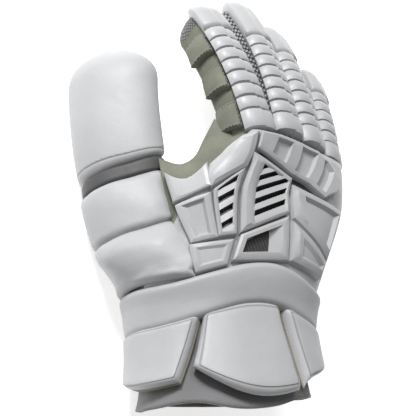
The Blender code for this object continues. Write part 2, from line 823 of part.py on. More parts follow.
def thumb_ring(along, lift, shrink=1.0, slant=THUMB_SLANT):
    """A ring of a thumb pad: over the pad and back along the stall."""
    turns = [math.radians(turn) for turn in spread(*THUMB_ARC, THUMB_ARC_STEPS)]
    over, under = [], []
    for index, turn in enumerate(turns):
        share = THUMB_EDGE_SHARE if index in (0, len(turns) - 1) else 1.0
        place = along - slant * THUMB_LENGTH * math.sin(turn)
        over.append(THUMB.point(place, turn, mix(CLEARANCE * 2, lift, share), shrink))
        under.append(THUMB.point(place, turn, CLEARANCE * 2, shrink))
    return over + under[::-1]


def thumb_padding(shop, hand_core, thumb_core):
    """Tip pad, stripe, middle pad and base pad."""
    end = TIP_PAD_END * THUMB_LENGTH
    rings = []
    for step in TIP_PAD_STEPS:
        along = THUMB_DOME * (1 - step) - THUMB_PAD * TIP_PAD_OVERHANG * step
        rings.append(thumb_ring(along, THUMB_PAD, math.sqrt(1 - step**2), 0.0))
    for share in spread(0.0, 1.0, 5):
        rings.append(thumb_ring(mix(THUMB_DOME, end, share), THUMB_PAD, 1.0, THUMB_SLANT * share))
    shop.add("thumb_tip_pad", loft("thumb_tip_pad", rings), WHITE_LEATHER)
    for pad in THUMB_PADS:
        rings = []
        for share, height in PAD_CROWN:
            along = mix(pad.start, pad.end, share) * THUMB_LENGTH
            rings.append(thumb_ring(along, pad.lift * height))
        made = shop.add(pad.name, loft(pad.name, rings), pad.finish)
        shop.cut(made, hand_core)
    base_pad(shop, hand_core, thumb_core)


BASE_PAD_START = 0.742
BASE_PAD_SEAM = ((0.0, -1.03), (0.45, -0.83), (1.0, -0.63))
BASE_PAD_HEM = -1.95
BASE_PAD_FAR = (0.562, 0.528)
BASE_PAD_BULGE = 0.009
BASE_PAD_ROOT = 0.006
BASE_PAD_ROUND = 0.003
BASE_PAD_BLEND = 1.4


def base_pad(shop, hand_core, thumb_core):
    """The large pad that runs from the thumb on to the wrist."""

    def place(u, v, w):
        down = 1 - v
        lift = mix(-BASE_PAD_ROOT, THUMB_PAD, w) - BASE_PAD_ROUND * w * abs(2 * v - 1) ** 6
        turn = math.radians(mix(*THUMB_ARC, u))
        start = (BASE_PAD_START - THUMB_SLANT * math.sin(turn)) * THUMB_LENGTH
        on_thumb = THUMB.point(start + down * THUMB_ROOT_WIDTH, turn, lift)
        seam = follow(BASE_PAD_SEAM, down) * HAND_HALF_WIDTH
        girth = mix(BASE_PAD_HEM * HAND_HALF_WIDTH, seam, u)
        far = mix(*BASE_PAD_FAR, u) * HAND_LENGTH
        hand_along = mix(THUMB_LENGTH * BASE_PAD_START - THUMB_TIP, far, down)
        on_hand = HAND.taped(hand_along, girth, lift)
        bulge = Vector((-BASE_PAD_BULGE * w * math.sin(math.pi * down), 0.0, 0.0))
        return on_thumb.lerp(on_hand, down**BASE_PAD_BLEND) + bulge

    pad = shop.add("thumb_base_pad", block("thumb_base_pad", 9, 5, place), WHITE_LEATHER)
    shop.cut(pad, hand_core, thumb_core)


# Cuff

BAND_LINE = (
    (-1.90, 0.640),
    (-1.40, 0.640),
    (-0.90, 0.643),
    (-0.50, 0.605),
    (0.0, 0.552),
    (0.40, 0.563),
    (0.75, 0.610),
    (1.10, 0.640),
    (1.90, 0.640),
)
BAND_REACH = 1.85


def band_along(girth):
    """The middle line of the band at a girth, in metres along the hand."""
    return follow(BAND_LINE, girth / HAND_HALF_WIDTH) * HAND_LENGTH


def wrist_band(shop):
    """The padded band, a strap whose two ends lie on the palm side."""

    def place(u, v, w):
        girth = mix(-BAND_REACH, BAND_REACH, u) * HAND_HALF_WIDTH
        edge = PLATE_EDGE * w
        half = BAND_WIDTH / 2 - edge
        along = band_along(girth) + mix(half, -half, v)
        bulge = BAND_CROWN * w * (1 - (2 * v - 1) ** 2)
        return HAND.taped(along, girth, mix(CUFF_GAP, BAND_THICKNESS, w) + bulge)

    shop.add("wrist_band", block("wrist_band", 28, 2, place), WHITE_LEATHER)


RIM_LINE = (
    (-3.0, 0.925),
    (-1.9, 0.960),
    (-1.2, 0.985),
    (-0.85, 0.955),
    (-0.3, 1.000),
    (0.2, 0.995),
    (0.9, 0.950),
    (1.8, 0.925),
    (3.0, 0.925),
)
RIM_BACK_REACH = 1.4
RIM_PALM_REACH = 2.6


def rim_along(turn):
    """Where the inner cuff ends at a turn from the back of the hand."""
    side = math.sin(turn)
    reach = side * RIM_BACK_REACH if math.cos(turn) > 0 else math.copysign(RIM_PALM_REACH, side)
    return follow(RIM_LINE, reach) * HAND_LENGTH


def inner_cuff(shop):
    """The fabric tube below the palm shell."""
    top = SHELL_LENGTH + CLEARANCE

    def ring(share, lift):
        turns = around(HAND_SIDES)
        return [HAND.point(mix(top, rim_along(turn), share), turn, lift) for turn in turns]

    shape = bmesh.new()
    shares = (0.0, 0.33, 0.66, 1.0)
    rings = [ring(share, 0.0) for share in shares] + [ring(share, -CUFF_WALL) for share in reversed(shares)]
    rows = [[shape.verts.new(point) for point in one] for one in rings]
    for low, high in zip(rows, rows[1:] + rows[:1]):
        for index in range(len(low)):
            after = (index + 1) % len(low)
            shape.faces.new((low[index], low[after], high[after], high[index]))
    shop.add("inner_cuff", finish_mesh("inner_cuff", shape), GREY_FABRIC)


@dataclass(frozen=True)
class Flap:
    """A cuff flap: girth shares at the band and at its free edge, and its corners along the hand.

    Flare lifts the free edge, sweep rounds it out, bow bends it, and lining adds a lining under it.
    """

    name: str
    top: tuple
    bottom: tuple
    ends: tuple
    flare: float
    sweep: float
    bow: float = 1.0
    lining: bool = True


FLAPS = (
    Flap("radial", (-1.80, -0.55), (-1.75, -0.80), (0.870, 0.905), 0.003, 0.0048),
    Flap("centre", (-0.52, 0.36), (-0.66, 0.50), (0.855, 0.935), 0.005, 0.012, 1.0, False),
    Flap("ulnar", (0.42, 1.45), (0.58, 1.25), (0.930, 0.800), 0.004, 0.0048, 0.5),
)


def flap_solid(flap, low, high, grow):
    """Where the corners of a flap or its lining go, between two lifts."""

    def place(u, v, w):
        down = 1 - v
        edge = PLATE_EDGE * w * grow
        left = mix(flap.top[0], flap.bottom[0], down) * HAND_HALF_WIDTH + edge
        right = mix(flap.top[1], flap.bottom[1], down) * HAND_HALF_WIDTH - edge
        girth = mix(left, right, u)
        start = band_along(girth) + BAND_WIDTH / 2 + CUFF_GAP
        end = mix(flap.ends[0], flap.ends[1], u**flap.bow) * HAND_LENGTH - edge
        end += flap.sweep * math.sin(math.pi * u)
        along = mix(start, end, down)
        lift = mix(low, high, w) + flap.flare * down**1.5
        return HAND.taped(along, girth, lift)

    return place


def flaps(shop):
    """Three padded flaps below the band, with their linings."""
    for flap in FLAPS:
        skin = LINING_THICKNESS + CLEARANCE if flap.lining else 0.0
        low = CUFF_GAP + skin
        name = f"cuff_flap_{flap.name}"
        shop.add(name, block(name, 6, 4, flap_solid(flap, low, low + FLAP_THICKNESS, 1)), WHITE_LEATHER)
        if flap.lining:
            name = f"cuff_lining_{flap.name}"
            solid = flap_solid(flap, CUFF_GAP, CUFF_GAP + LINING_THICKNESS, 0)
            shop.add(name, block(name, 6, 4, solid), TAN_LINING)


def lay_down(shop):
    """Tip the glove into its rest pose and set it on the floor over the origin."""
    shop.rest.rotation_mode = "YXZ"
    shop.rest.rotation_euler = (REST_PITCH, REST_ROLL, 0.0)
    bpy.context.view_layer.update()
    graph = bpy.context.evaluated_depsgraph_get()
    low, high = Vector((1e9,) * 3), Vector((-1e9,) * 3)
    for piece in shop.parts.objects:
        if piece.type != "MESH":
            continue
        evaluated = piece.evaluated_get(graph)
        for vert in evaluated.data.vertices:
            spot = evaluated.matrix_world @ vert.co
            low = Vector(map(min, low, spot))
            high = Vector(map(max, high, spot))
    middle = (low + high) / 2
    shop.rest.location = (-middle.x, -middle.y, -low.z)


def main():
    """Build the glove."""
    clear_scene()
    shop = Workshop()
    knuckle_line = knuckle_cutter(shop)
    hand_core, thumb_core, thumb_skin = inner_glove(shop, knuckle_line)
    for path in PATHS.values():
        finger_roll(shop, path, knuckle_line)
        tip_pad(shop, path)
    side_pads(shop, PATHS["index"])
    knuckle_bar(shop)
    backhand(shop)
    web(shop, hand_core, thumb_core, thumb_skin)
    thumb_padding(shop, hand_core, thumb_core)
    wrist_band(shop)
    inner_cuff(shop)
    flaps(shop)
    lay_down(shop)


main()
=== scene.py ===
"""A right-hand lacrosse glove, 13 inch size, lying palm down on a pale floor.

Each piece is cut flat, as a glove maker cuts it, with its thickness, bevels and sunk panels, and
is then laid over the hand, the thumb or a finger. Lengths are in metres.
"""

from __future__ import annotations

import bisect
import json
import logging
import math
from dataclasses import dataclass, field
from enum import Enum
from typing import Callable, Iterable, Sequence

import bmesh
import bpy
from mathutils import Euler, Matrix, Vector, noise


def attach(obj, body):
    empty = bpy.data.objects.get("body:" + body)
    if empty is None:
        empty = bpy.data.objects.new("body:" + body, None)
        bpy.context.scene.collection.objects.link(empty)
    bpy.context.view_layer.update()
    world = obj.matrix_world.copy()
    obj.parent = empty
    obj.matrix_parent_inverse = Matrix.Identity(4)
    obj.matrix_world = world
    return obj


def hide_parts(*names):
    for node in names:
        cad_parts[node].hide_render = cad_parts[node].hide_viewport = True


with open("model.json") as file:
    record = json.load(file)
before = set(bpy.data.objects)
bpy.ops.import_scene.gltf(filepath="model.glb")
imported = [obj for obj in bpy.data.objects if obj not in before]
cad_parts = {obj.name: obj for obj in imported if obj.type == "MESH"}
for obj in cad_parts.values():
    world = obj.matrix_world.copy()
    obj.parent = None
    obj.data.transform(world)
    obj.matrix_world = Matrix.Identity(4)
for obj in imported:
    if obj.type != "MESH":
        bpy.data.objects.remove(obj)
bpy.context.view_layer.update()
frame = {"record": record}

log = logging.getLogger("glove")

REST_ROLL = math.radians(14.7)
REST_PITCH = math.radians(-2.2)
WRIST_CENTRE = Vector((-0.043, -0.192, -0.037))
REST_TURN = Euler((REST_PITCH, REST_ROLL, 0.0), "YXZ").to_matrix()
REST_PLACE = Vector(frame["record"]["mounts"][0]["pos_m"]) - REST_TURN @ WRIST_CENTRE


def laid(point: Vector) -> Vector:
    """Turn a place in the hand's own frame into the frame of the resting glove.

    Args:
        point: X towards the little finger, Y along the fingers, Z out of the back of the hand.

    Returns:
        The place in the scene.
    """
    return REST_TURN @ point + REST_PLACE


def mix(low: float, high: float, share: float) -> float:
    """Return the value at a share of the way from low to high."""
    return low + (high - low) * share


def smooth(share: float) -> float:
    """Return an S-shaped rise from 0 to 1."""
    share = min(max(share, 0.0), 1.0)
    return share * share * (3 - 2 * share)


def follow(stops: Sequence[tuple[float, float]], at: float) -> float:
    """Read a value from (place, value) stops, straight between them and level past the ends."""
    if at <= stops[0][0]:
        return stops[0][1]
    for (low, first), (high, second) in zip(stops, stops[1:]):
        if at <= high:
            return mix(first, second, (at - low) / (high - low))
    return stops[-1][1]


def signed_power(value: float, power: float) -> float:
    """Return a power that keeps the sign of the value."""
    return math.copysign(abs(value) ** power, value)


# The body under the pads


@dataclass(frozen=True)
class Section:
    """One cross section of a limb, in metres and degrees."""

    along: float
    across: float
    up: float
    half_width: float
    half_depth: float
    tilt: float
    squareness: float


HAND_SECTIONS = (
    Section(0.0000, 0.0000, -0.0024, 0.0581, 0.0200, -5, 4.5),
    Section(0.0220, -0.0060, -0.0050, 0.0630, 0.0220, 1, 3.2),
    Section(0.0450, -0.0179, -0.0140, 0.0711, 0.0280, 10, 2.6),
    Section(0.0750, -0.0273, -0.0260, 0.0707, 0.0360, 17, 2.4),
    Section(0.1050, -0.0375, -0.0365, 0.0721, 0.0400, 20, 2.3),
    Section(0.1280, -0.0371, -0.0420, 0.0662, 0.0410, 20, 2.3),
    Section(0.1650, -0.0391, -0.0400, 0.0620, 0.0430, 20, 2.3),
    Section(0.2000, -0.0441, -0.0360, 0.0660, 0.0460, 20, 2.3),
)
THUMB_SECTIONS = (
    Section(0.0000, -0.1050, -0.0746, 0.0255, 0.0150, 49.5, 2.5),
    Section(0.0372, -0.1070, -0.0746, 0.0255, 0.0150, 49.5, 2.5),
    Section(0.0800, -0.1050, -0.0720, 0.0255, 0.0150, 49.5, 2.5),
    Section(0.0996, -0.1027, -0.0704, 0.0255, 0.0150, 49.5, 2.5),
    Section(0.1288, -0.1014, -0.0656, 0.0255, 0.0150, 49.5, 2.5),
    Section(0.1642, -0.0930, -0.0580, 0.0250, 0.0150, 49.5, 2.5),
    Section(0.1837, -0.0820, -0.0530, 0.0187, 0.0130, 45.0, 2.4),
    Section(0.1960, -0.0720, -0.0500, 0.0125, 0.0100, 40.0, 2.3),
)


class Skin:
    """A surface that a flat pattern is laid over.

    A flat place is (girth, reach, lift): girth by tape from the crest, reach along the limb,
    and lift off the skin.
    """

    steps = 96
    tape_lift = 0.008

    def __init__(self) -> None:
        """Start with no measured tapes."""
        self.tapes: dict[int, list[float]] = {}

    def point(self, reach: float, turn: float, lift: float, shrink: float = 1.0) -> Vector:
        """Return the place at a turn from the crest, in the hand's frame."""
        raise NotImplementedError

    def tape(self, reach: float, side: int) -> list[float]:
        """Return the tape lengths from the crest round one side, for each step of turn."""
        key = round(reach * 2000) * 2 + (side > 0)
        if key not in self.tapes:
            last, total, lengths = self.point(reach, 0.0, self.tape_lift), 0.0, [0.0]
            for step in range(1, self.steps + 1):
                here = self.point(reach, side * math.pi * step / self.steps, self.tape_lift)
                total += (here - last).length
                lengths.append(total)
                last = here
            self.tapes[key] = lengths
        return self.tapes[key]

    def turn(self, reach: float, girth: float) -> float:
        """Return the turn at which the tape reads girth."""
        side = 1 if girth >= 0 else -1
        lengths = self.tape(reach, side)
        length = min(abs(girth), lengths[-1] * 0.999)
        index = bisect.bisect_right(lengths, length) - 1
        share = (length - lengths[index]) / (lengths[index + 1] - lengths[index])
        return side * math.pi * (index + share) / self.steps

    def wrap(self, flat: Vector) -> Vector:
        """Lay one flat place over the skin and return it in the scene."""
        return laid(self.point(flat.y, self.turn(flat.y, flat.x), flat.z))


class LimbSkin(Skin):
    """A smooth tube through cross sections that stand square to the hand's Y axis."""

    def __init__(self, sections: Sequence[Section], start: float) -> None:
        """Keep the sections and their slopes.

        Args:
            sections: cross sections in order.
            start: the Y of the first one; reach runs towards the wrist from there.
        """
        super().__init__()
        self.start = start
        self.at = [one.along for one in sections]
        self.rows = [
            (
                one.across, one.up, one.half_width, one.half_depth, math.radians(one.tilt),
                one.squareness,
            )
            for one in sections
        ]

    def slope(self, index: int) -> list[float]:
        """Return the rate of change of the rows at one section."""
        low, high = max(index - 1, 0), min(index + 1, len(self.rows) - 1)
        run = self.at[high] - self.at[low]
        return [(b - a) / run for a, b in zip(self.rows[low], self.rows[high])]

    def outline(self, reach: float) -> list[float]:
        """Return centre, half sizes, tilt and squareness at a reach."""
        reach = min(max(reach, self.at[0]), self.at[-1])
        index = min(bisect.bisect_right(self.at, reach) - 1, len(self.rows) - 2)
        run = self.at[index + 1] - self.at[index]
        t = (reach - self.at[index]) / run
        first, second = self.slope(index), self.slope(index + 1)
        return [
            (2 * t**3 - 3 * t**2 + 1) * p0
            + (t**3 - 2 * t**2 + t) * run * m0
            + (3 * t**2 - 2 * t**3) * p1
            + (t**3 - t**2) * run * m1
            for p0, m0, p1, m1 in zip(self.rows[index], first, self.rows[index + 1], second)
        ]

    def point(self, reach: float, turn: float, lift: float, shrink: float = 1.0) -> Vector:
        """Return the place at a turn from the crest, in the hand's frame."""
        across, up, half_width, half_depth, tilt, squareness = self.outline(reach)
        side = (half_width + lift) * shrink * signed_power(math.sin(turn), 2 / squareness)
        rise = (half_depth + lift) * shrink * signed_power(math.cos(turn), 2 / squareness)
        return Vector(
            (
                across + side * math.cos(tilt) - rise * math.sin(tilt),
                self.start - reach,
                up + side * math.sin(tilt) + rise * math.cos(tilt),
            )
        )


class HandSkin(LimbSkin):
    """The hand, where a flat pattern's reach is the hand's own Y."""

    def wrap(self, flat: Vector) -> Vector:
        """Lay one flat place over the hand and return it in the scene."""
        return laid(self.point(-flat.y, self.turn(-flat.y, flat.x), flat.z))


class FingerSkin(Skin):
    """The curled stall of one finger."""

    width = 0.027
    depth = 0.033
    squareness = 2.6
    start_angle = math.radians(7.0)

    def __init__(self, root: Vector, splay: float, length: float, roll: float, curl: float) -> None:
        """Set up the curled centre line.

        Args:
            root: where the stall leaves the hand.
            splay: degrees towards the little finger.
            length: from root to tip.
            roll: degrees that the finger's back leans towards the little finger.
            curl: degrees down at the tip.
        """
        super().__init__()
        self.root, self.length = root, length
        self.roll = math.radians(roll)
        self.ahead = Vector((math.sin(math.radians(splay)), math.cos(math.radians(splay)), 0.0))
        self.bend = (math.radians(curl) - self.start_angle) / length

    def axes(self, reach: float) -> tuple[Vector, Vector, Vector]:
        """Return centre, side and up directions at a reach from the root."""
        low = self.start_angle
        angle = low + self.bend * max(reach, 0.0)
        if reach < 0:
            run, drop = reach * math.cos(low), reach * math.sin(low)
        else:
            run = (math.sin(angle) - math.sin(low)) / self.bend
            drop = (math.cos(low) - math.cos(angle)) / self.bend
        centre = self.root + self.ahead * run - Vector((0, 0, drop))
        along = self.ahead * math.cos(angle) - Vector((0, 0, math.sin(angle)))
        up = self.ahead * math.sin(angle) + Vector((0, 0, math.cos(angle)))
        side = along.cross(up)
        across = side * math.cos(self.roll) - up * math.sin(self.roll)
        return centre, across, up * math.cos(self.roll) + side * math.sin(self.roll)

    def tape(self, reach: float, side: int) -> list[float]:
        """Return one tape for the whole finger, because its section doesn't change."""
        return super().tape(0.02, side)

    def point(self, reach: float, turn: float, lift: float, shrink: float = 1.0) -> Vector:
        """Return the place at a turn from the back of the finger, in the hand's frame."""
        centre, side, up = self.axes(reach)
        power = 2 / self.squareness
        wide = (self.width / 2 + lift) * shrink * signed_power(math.sin(turn), power)
        high = (self.depth / 2 + lift) * shrink * signed_power(math.cos(turn), power)
        return centre + side * wide + up * high


HAND = HandSkin(HAND_SECTIONS, 0.0)
THUMB = LimbSkin(THUMB_SECTIONS, 0.074)


# Shader maths

RELIEF = 0.001


class Signal:
    """A shader socket; sums and products of signals add their Math nodes."""

    def __init__(self, graph: Graph, socket: bpy.types.NodeSocket) -> None:
        """Keep the socket and the graph that it belongs to."""
        self.graph, self.socket = graph, socket

    def _math(self, operation: str, first: object, second: object) -> Signal:
        """Add a Math node and return its value."""
        return self.graph.node("ShaderNodeMath", {"operation": operation}, {0: first, 1: second})

    def __add__(self, other: object) -> Signal:
        """Return the sum."""
        return self._math("ADD", self, other)

    __radd__ = __add__

    def __mul__(self, other: object) -> Signal:
        """Return the product."""
        return self._math("MULTIPLY", self, other)

    __rmul__ = __mul__

    def __sub__(self, other: object) -> Signal:
        """Return self less other."""
        return self._math("SUBTRACT", self, other)

    def __rsub__(self, other: object) -> Signal:
        """Return other less self."""
        return self._math("SUBTRACT", other, self)

    def __truediv__(self, other: object) -> Signal:
        """Return self over other."""
        return self._math("DIVIDE", self, other)

    def __abs__(self) -> Signal:
        """Return the value without its sign."""
        return self._math("ABSOLUTE", self, 0.0)

    def wave(self) -> Signal:
        """Return the sine."""
        return self._math("SINE", self, 0.0)

    def ramp(self, low: float, high: float) -> Signal:
        """Return a smooth rise from 0 at low to 1 at high."""
        return self.graph.node(
            "ShaderNodeMapRange",
            {"interpolation_type": "SMOOTHSTEP"},
            {"Value": self, "From Min": low, "From Max": high},
        )


class Graph:
    """The node tree of one material, round its Principled shader."""

    def __init__(self, name: str) -> None:
        """Start a material with its shader."""
        self.material = bpy.data.materials.new(name)
        self.material.use_nodes = True
        self.tree = self.material.node_tree
        self.shader = self.tree.nodes["Principled BSDF"]

    def node(
        self,
        kind: str,
        settings: dict[str, object] | None = None,
        inputs: dict[object, object] | None = None,
        output: int | str = 0,
    ) -> Signal:
        """Add a node.

        Args:
            kind: the node's type.
            settings: its properties, set first.
            inputs: values or signals by socket name or number.
            output: which output is returned.

        Returns:
            The signal of that output.
        """
        made = self.tree.nodes.new(kind)
        for key, value in (settings or {}).items():
            setattr(made, key, value)
        for key, value in (inputs or {}).items():
            if isinstance(value, Signal):
                self.tree.links.new(value.socket, made.inputs[key])
            else:
                made.inputs[key].default_value = value
        return Signal(self, made.outputs[output])

    def place(self) -> Signal:
        """Return Object coordinates."""
        return self.node("ShaderNodeTexCoord", output="Object")

    def chart(self) -> Signal:
        """Return the piece's own flat pattern, in metres."""
        return self.node("ShaderNodeUVMap", {"uv_map": "pattern"})

    def attribute(self, name: str) -> Signal:
        """Return a value that the piece's mesh carries."""
        return self.node("ShaderNodeAttribute", {"attribute_name": name}, output="Fac")

    def noise(self, where: Signal, scale: float, detail: float = 3.0) -> Signal:
        """Return a noise of 0 to 1."""
        return self.node(
            "ShaderNodeTexNoise", {}, {"Vector": where, "Scale": scale, "Detail": detail}
        )

    def parts(self, where: Signal) -> tuple[Signal, Signal, Signal]:
        """Return the X, Y and Z of a vector."""
        split = self.tree.nodes.new("ShaderNodeSeparateXYZ")
        self.tree.links.new(where.socket, split.inputs[0])
        return tuple(Signal(self, socket) for socket in split.outputs)

    def blend(self, share: object, first: object, second: object) -> Signal:
        """Return a colour between two colours."""
        return self.node(
            "ShaderNodeMix", {"data_type": "RGBA"}, {0: share, 6: first, 7: second}, output=2
        )

    def feed(self, socket: str, value: object) -> None:
        """Give a value or a signal to a socket of the shader."""
        if isinstance(value, Signal):
            self.tree.links.new(value.socket, self.shader.inputs[socket])
        else:
            self.shader.inputs[socket].default_value = value

    def relief(self, height: Signal, distance: float, strength: float = 1.0) -> None:
        """Give the shader a bump of a real height in metres."""
        bump = self.node(
            "ShaderNodeBump", {}, {"Height": height, "Distance": distance, "Strength": strength}
        )
        self.feed("Normal", bump)


def rgba(colour: Sequence[float], share: float = 1.0) -> tuple[float, float, float, float]:
    """Return a colour with its alpha, made lighter or darker by a share."""
    return (colour[0] * share, colour[1] * share, colour[2] * share, 1.0)


@dataclass(frozen=True)
class Leather:
    """Smooth synthetic leather: a fine pebble grain, soft mottling and, where asked, a seam.

    The seam runs at a distance inside the piece's edge, read from the mesh's rim value; its sunk
    groove and the dents between its stitches are darkened with painted shade.
    """

    name: str
    colour: tuple[float, float, float] = (0.365, 0.368, 0.375)
    roughness: float = 0.50
    grain: float = 0.00006
    grain_scale: float = 900.0
    crease: float = 0.00035
    seam: float = 0.0
    seam_width: float = 0.0007
    seam_depth: float = 0.0006
    stitch_pitch: float = 0.0
    stitch_gap: float = 0.0016
    stitch_width: float = 0.0006
    soil: float = 0.10

    def material(self) -> bpy.types.Material:
        """Return the material."""
        graph = Graph(self.name)
        place = graph.place()
        cells = graph.node(
            "ShaderNodeTexVoronoi", {"feature": "F1"}, {"Vector": place, "Scale": self.grain_scale}
        )
        mottle = graph.noise(place, 28.0, 4.0)
        fine = graph.noise(place, 260.0, 2.0)
        creases = graph.noise(place, 75.0, 2.0)
        height = cells * (self.grain / RELIEF) + creases * (self.crease / RELIEF) + fine * 0.05
        shade = mottle.ramp(0.30, 0.75)
        tone = graph.blend(shade, rgba(self.colour, 1.0 - self.soil * 0.55), rgba(self.colour))
        rough = fine * 0.14 + (self.roughness - 0.07)
        if self.seam:
            rim = graph.attribute("rim")
            line = 1.0 - (abs(rim - self.seam) / self.seam_width).ramp(0.25, 1.0)
            height = height - line * (self.seam_depth / RELIEF)
            # Painted shade: the seam's sunk groove is darkened in colour.
            tone = graph.blend(line * 0.42, tone, rgba(self.colour, 0.30))
            if self.stitch_pitch:
                run = graph.attribute("run")
                beat = (run * (2 * math.pi / self.stitch_pitch)).wave().ramp(-0.2, 0.5)
                off = abs(rim - self.seam - self.stitch_gap)
                row = 1.0 - (off / self.stitch_width).ramp(0.4, 1.0)
                height = height + row * beat * 0.45
                # Painted shade: the dents between the raised stitches are darkened in colour.
                tone = graph.blend(row * (1.0 - beat) * 0.35, tone, rgba(self.colour, 0.45))
        graph.feed("Base Color", tone)
        graph.feed("Roughness", rough)
        graph.feed("Sheen Weight", 0.05)
        graph.feed("Specular IOR Level", 0.42)
        graph.relief(height, RELIEF, 0.9)
        return graph.material


@dataclass(frozen=True)
class Suede:
    """Napped suede: brushed light and dark patches over a fine felted grain.

    Stitch is how far inside the edge a dark running stitch lies, or 0 for none.
    """

    name: str
    colour: tuple[float, float, float] = (0.135, 0.14, 0.110)
    light: float = 1.45
    roughness: float = 0.92
    stitch: float = 0.0
    stitch_pitch: float = 0.0036
    stitch_width: float = 0.0006

    def material(self) -> bpy.types.Material:
        """Return the material."""
        graph = Graph(self.name)
        place = graph.place()
        patches = graph.noise(place, 55.0, 5.0).ramp(0.32, 0.70)
        nap = graph.noise(place, 1400.0, 3.0)
        pores = graph.noise(place, 420.0, 3.0)
        tone = graph.blend(patches, rgba(self.colour, 0.86), rgba(self.colour, self.light * 0.8))
        tone = graph.blend(nap.ramp(0.35, 0.75) * 0.45, tone, rgba(self.colour, self.light))
        if self.stitch:
            run, rim = graph.attribute("run"), graph.attribute("rim")
            beat = (run * (2 * math.pi / self.stitch_pitch)).wave().ramp(-0.25, 0.15)
            row = 1.0 - (abs(rim - self.stitch) / self.stitch_width).ramp(0.5, 1.0)
            tone = graph.blend(row * beat, tone, rgba((0.02, 0.02, 0.02)))
        graph.feed("Base Color", tone)
        graph.feed("Roughness", self.roughness)
        graph.feed("Sheen Weight", 0.10)
        graph.feed("Sheen Roughness", 0.6)
        graph.feed("Specular IOR Level", 0.15)
        graph.relief(nap * 0.16 + pores * 0.22, RELIEF, 0.8)
        return graph.material


class Weave(Enum):
    """How coarse a woven cloth is: its thread pitch in metres."""

    COARSE = 0.0048
    FINE = 0.0028
    KNIT = 0.0011


@dataclass(frozen=True)
class Mesh:
    """Woven cloth: crossing threads over a dark ground, drawn on the piece's flat pattern."""

    name: str
    weave: Weave
    thread: tuple[float, float, float]
    ground: tuple[float, float, float]
    roughness: float = 0.75
    depth: float = 0.0006

    def material(self) -> bpy.types.Material:
        """Return the material."""
        graph = Graph(self.name)
        x, y, _ = graph.parts(graph.chart())
        place = graph.place()
        beat = math.pi / self.weave.value
        first = ((x + y) * beat).wave()
        second = ((x - y) * beat).wave()
        cross = abs(first) * abs(second)
        fray = graph.noise(place, 900.0, 2.0)
        cover = (cross + fray * 0.22).ramp(0.40, 0.68)
        tone = graph.blend(cover, rgba(self.ground), rgba(self.thread))
        wear = graph.noise(place, 70.0, 3.0).ramp(0.35, 0.7) * 0.25
        tone = graph.blend(wear, tone, rgba(self.ground, 1.4))
        graph.feed("Base Color", tone)
        graph.feed("Roughness", self.roughness)
        graph.feed("Sheen Weight", 0.2)
        graph.relief(cover + fray * 0.2, self.depth, 0.9)
        return graph.material


@dataclass(frozen=True)
class Painted:
    """A plain matt surface with a faint unevenness, for the floor."""

    name: str
    colour: tuple[float, float, float]
    roughness: float = 0.8
    glow: float = 0.0

    def material(self) -> bpy.types.Material:
        """Return the material."""
        graph = Graph(self.name)
        drift = graph.noise(graph.place(), 3.0, 2.0)
        graph.feed("Base Color", graph.blend(drift, rgba(self.colour, 0.99), rgba(self.colour)))
        graph.feed("Roughness", self.roughness)
        graph.feed("Specular IOR Level", 0.2)
        graph.feed("Emission Color", (1.0, 1.0, 1.0, 1.0))
        graph.feed("Emission Strength", self.glow)
        return graph.material


Finish = Leather | Suede | Mesh | Painted


class Wardrobe:
    """All finishes of the glove, each made once."""

    pad = Leather("white_pad_leather")
    rim_pad = Leather("white_rim_seam_leather", seam=0.0062, stitch_pitch=0.0034)
    edge_pad = Leather("white_edge_seam_leather", seam=0.0036)
    foam = Leather(
        "white_moulded_leather", colour=(0.36, 0.363, 0.37), roughness=0.40, crease=0.00010
    )
    palm = Leather("grey_palm_leather", colour=(0.36, 0.365, 0.33), roughness=0.75, soil=0.3)
    stripe = Leather("grey_stripe_leather", colour=(0.060, 0.060, 0.062), roughness=0.55, soil=0.3)
    suede = Suede("olive_suede")
    flex = Suede("olive_stitched_suede", stitch=0.0020)
    coarse = Mesh(
        "coarse_gusset_mesh", Weave.COARSE, (0.30, 0.30, 0.30), (0.012, 0.012, 0.013), depth=0.0009
    )
    fine = Mesh("fine_tip_mesh", Weave.FINE, (0.16, 0.16, 0.165), (0.03, 0.03, 0.03))
    knit = Mesh(
        "grey_cuff_knit", Weave.KNIT, (0.23, 0.23, 0.235), (0.13, 0.13, 0.135), depth=0.0003
    )
    tan = Suede("tan_brushed_lining", colour=(0.20, 0.18, 0.135), light=1.3)
    # Near-black mesh used as painted shade in the plates' slots and window and in the knuckle
    # groove.
    vent = Mesh("dark_mesh_painted_shade", Weave.FINE, (0.035, 0.033, 0.030), (0.006, 0.006, 0.006))

    def __init__(self) -> None:
        """Start with nothing made."""
        self.made: dict[str, bpy.types.Material] = {}

    def get(self, finish: Finish) -> bpy.types.Material:
        """Return the material of a finish, making it the first time."""
        if finish.name not in self.made:
            self.made[finish.name] = finish.material()
        return self.made[finish.name]


WARDROBE = Wardrobe()

# Cutting and laying patterns

WELD = 1e-6


def added(name: str, data: bpy.types.ID) -> bpy.types.Object:
    """Put an object with this data in the scene and return it."""
    made = bpy.data.objects.new(name, data)
    bpy.context.scene.collection.objects.link(made)
    return made


def thicken(made: bpy.types.Object, thickness: float, offset: float) -> bpy.types.Modifier:
    """Give a surface a wall and return the modifier."""
    wall = made.modifiers.new("wall", "SOLIDIFY")
    wall.thickness, wall.offset = thickness, offset
    return wall


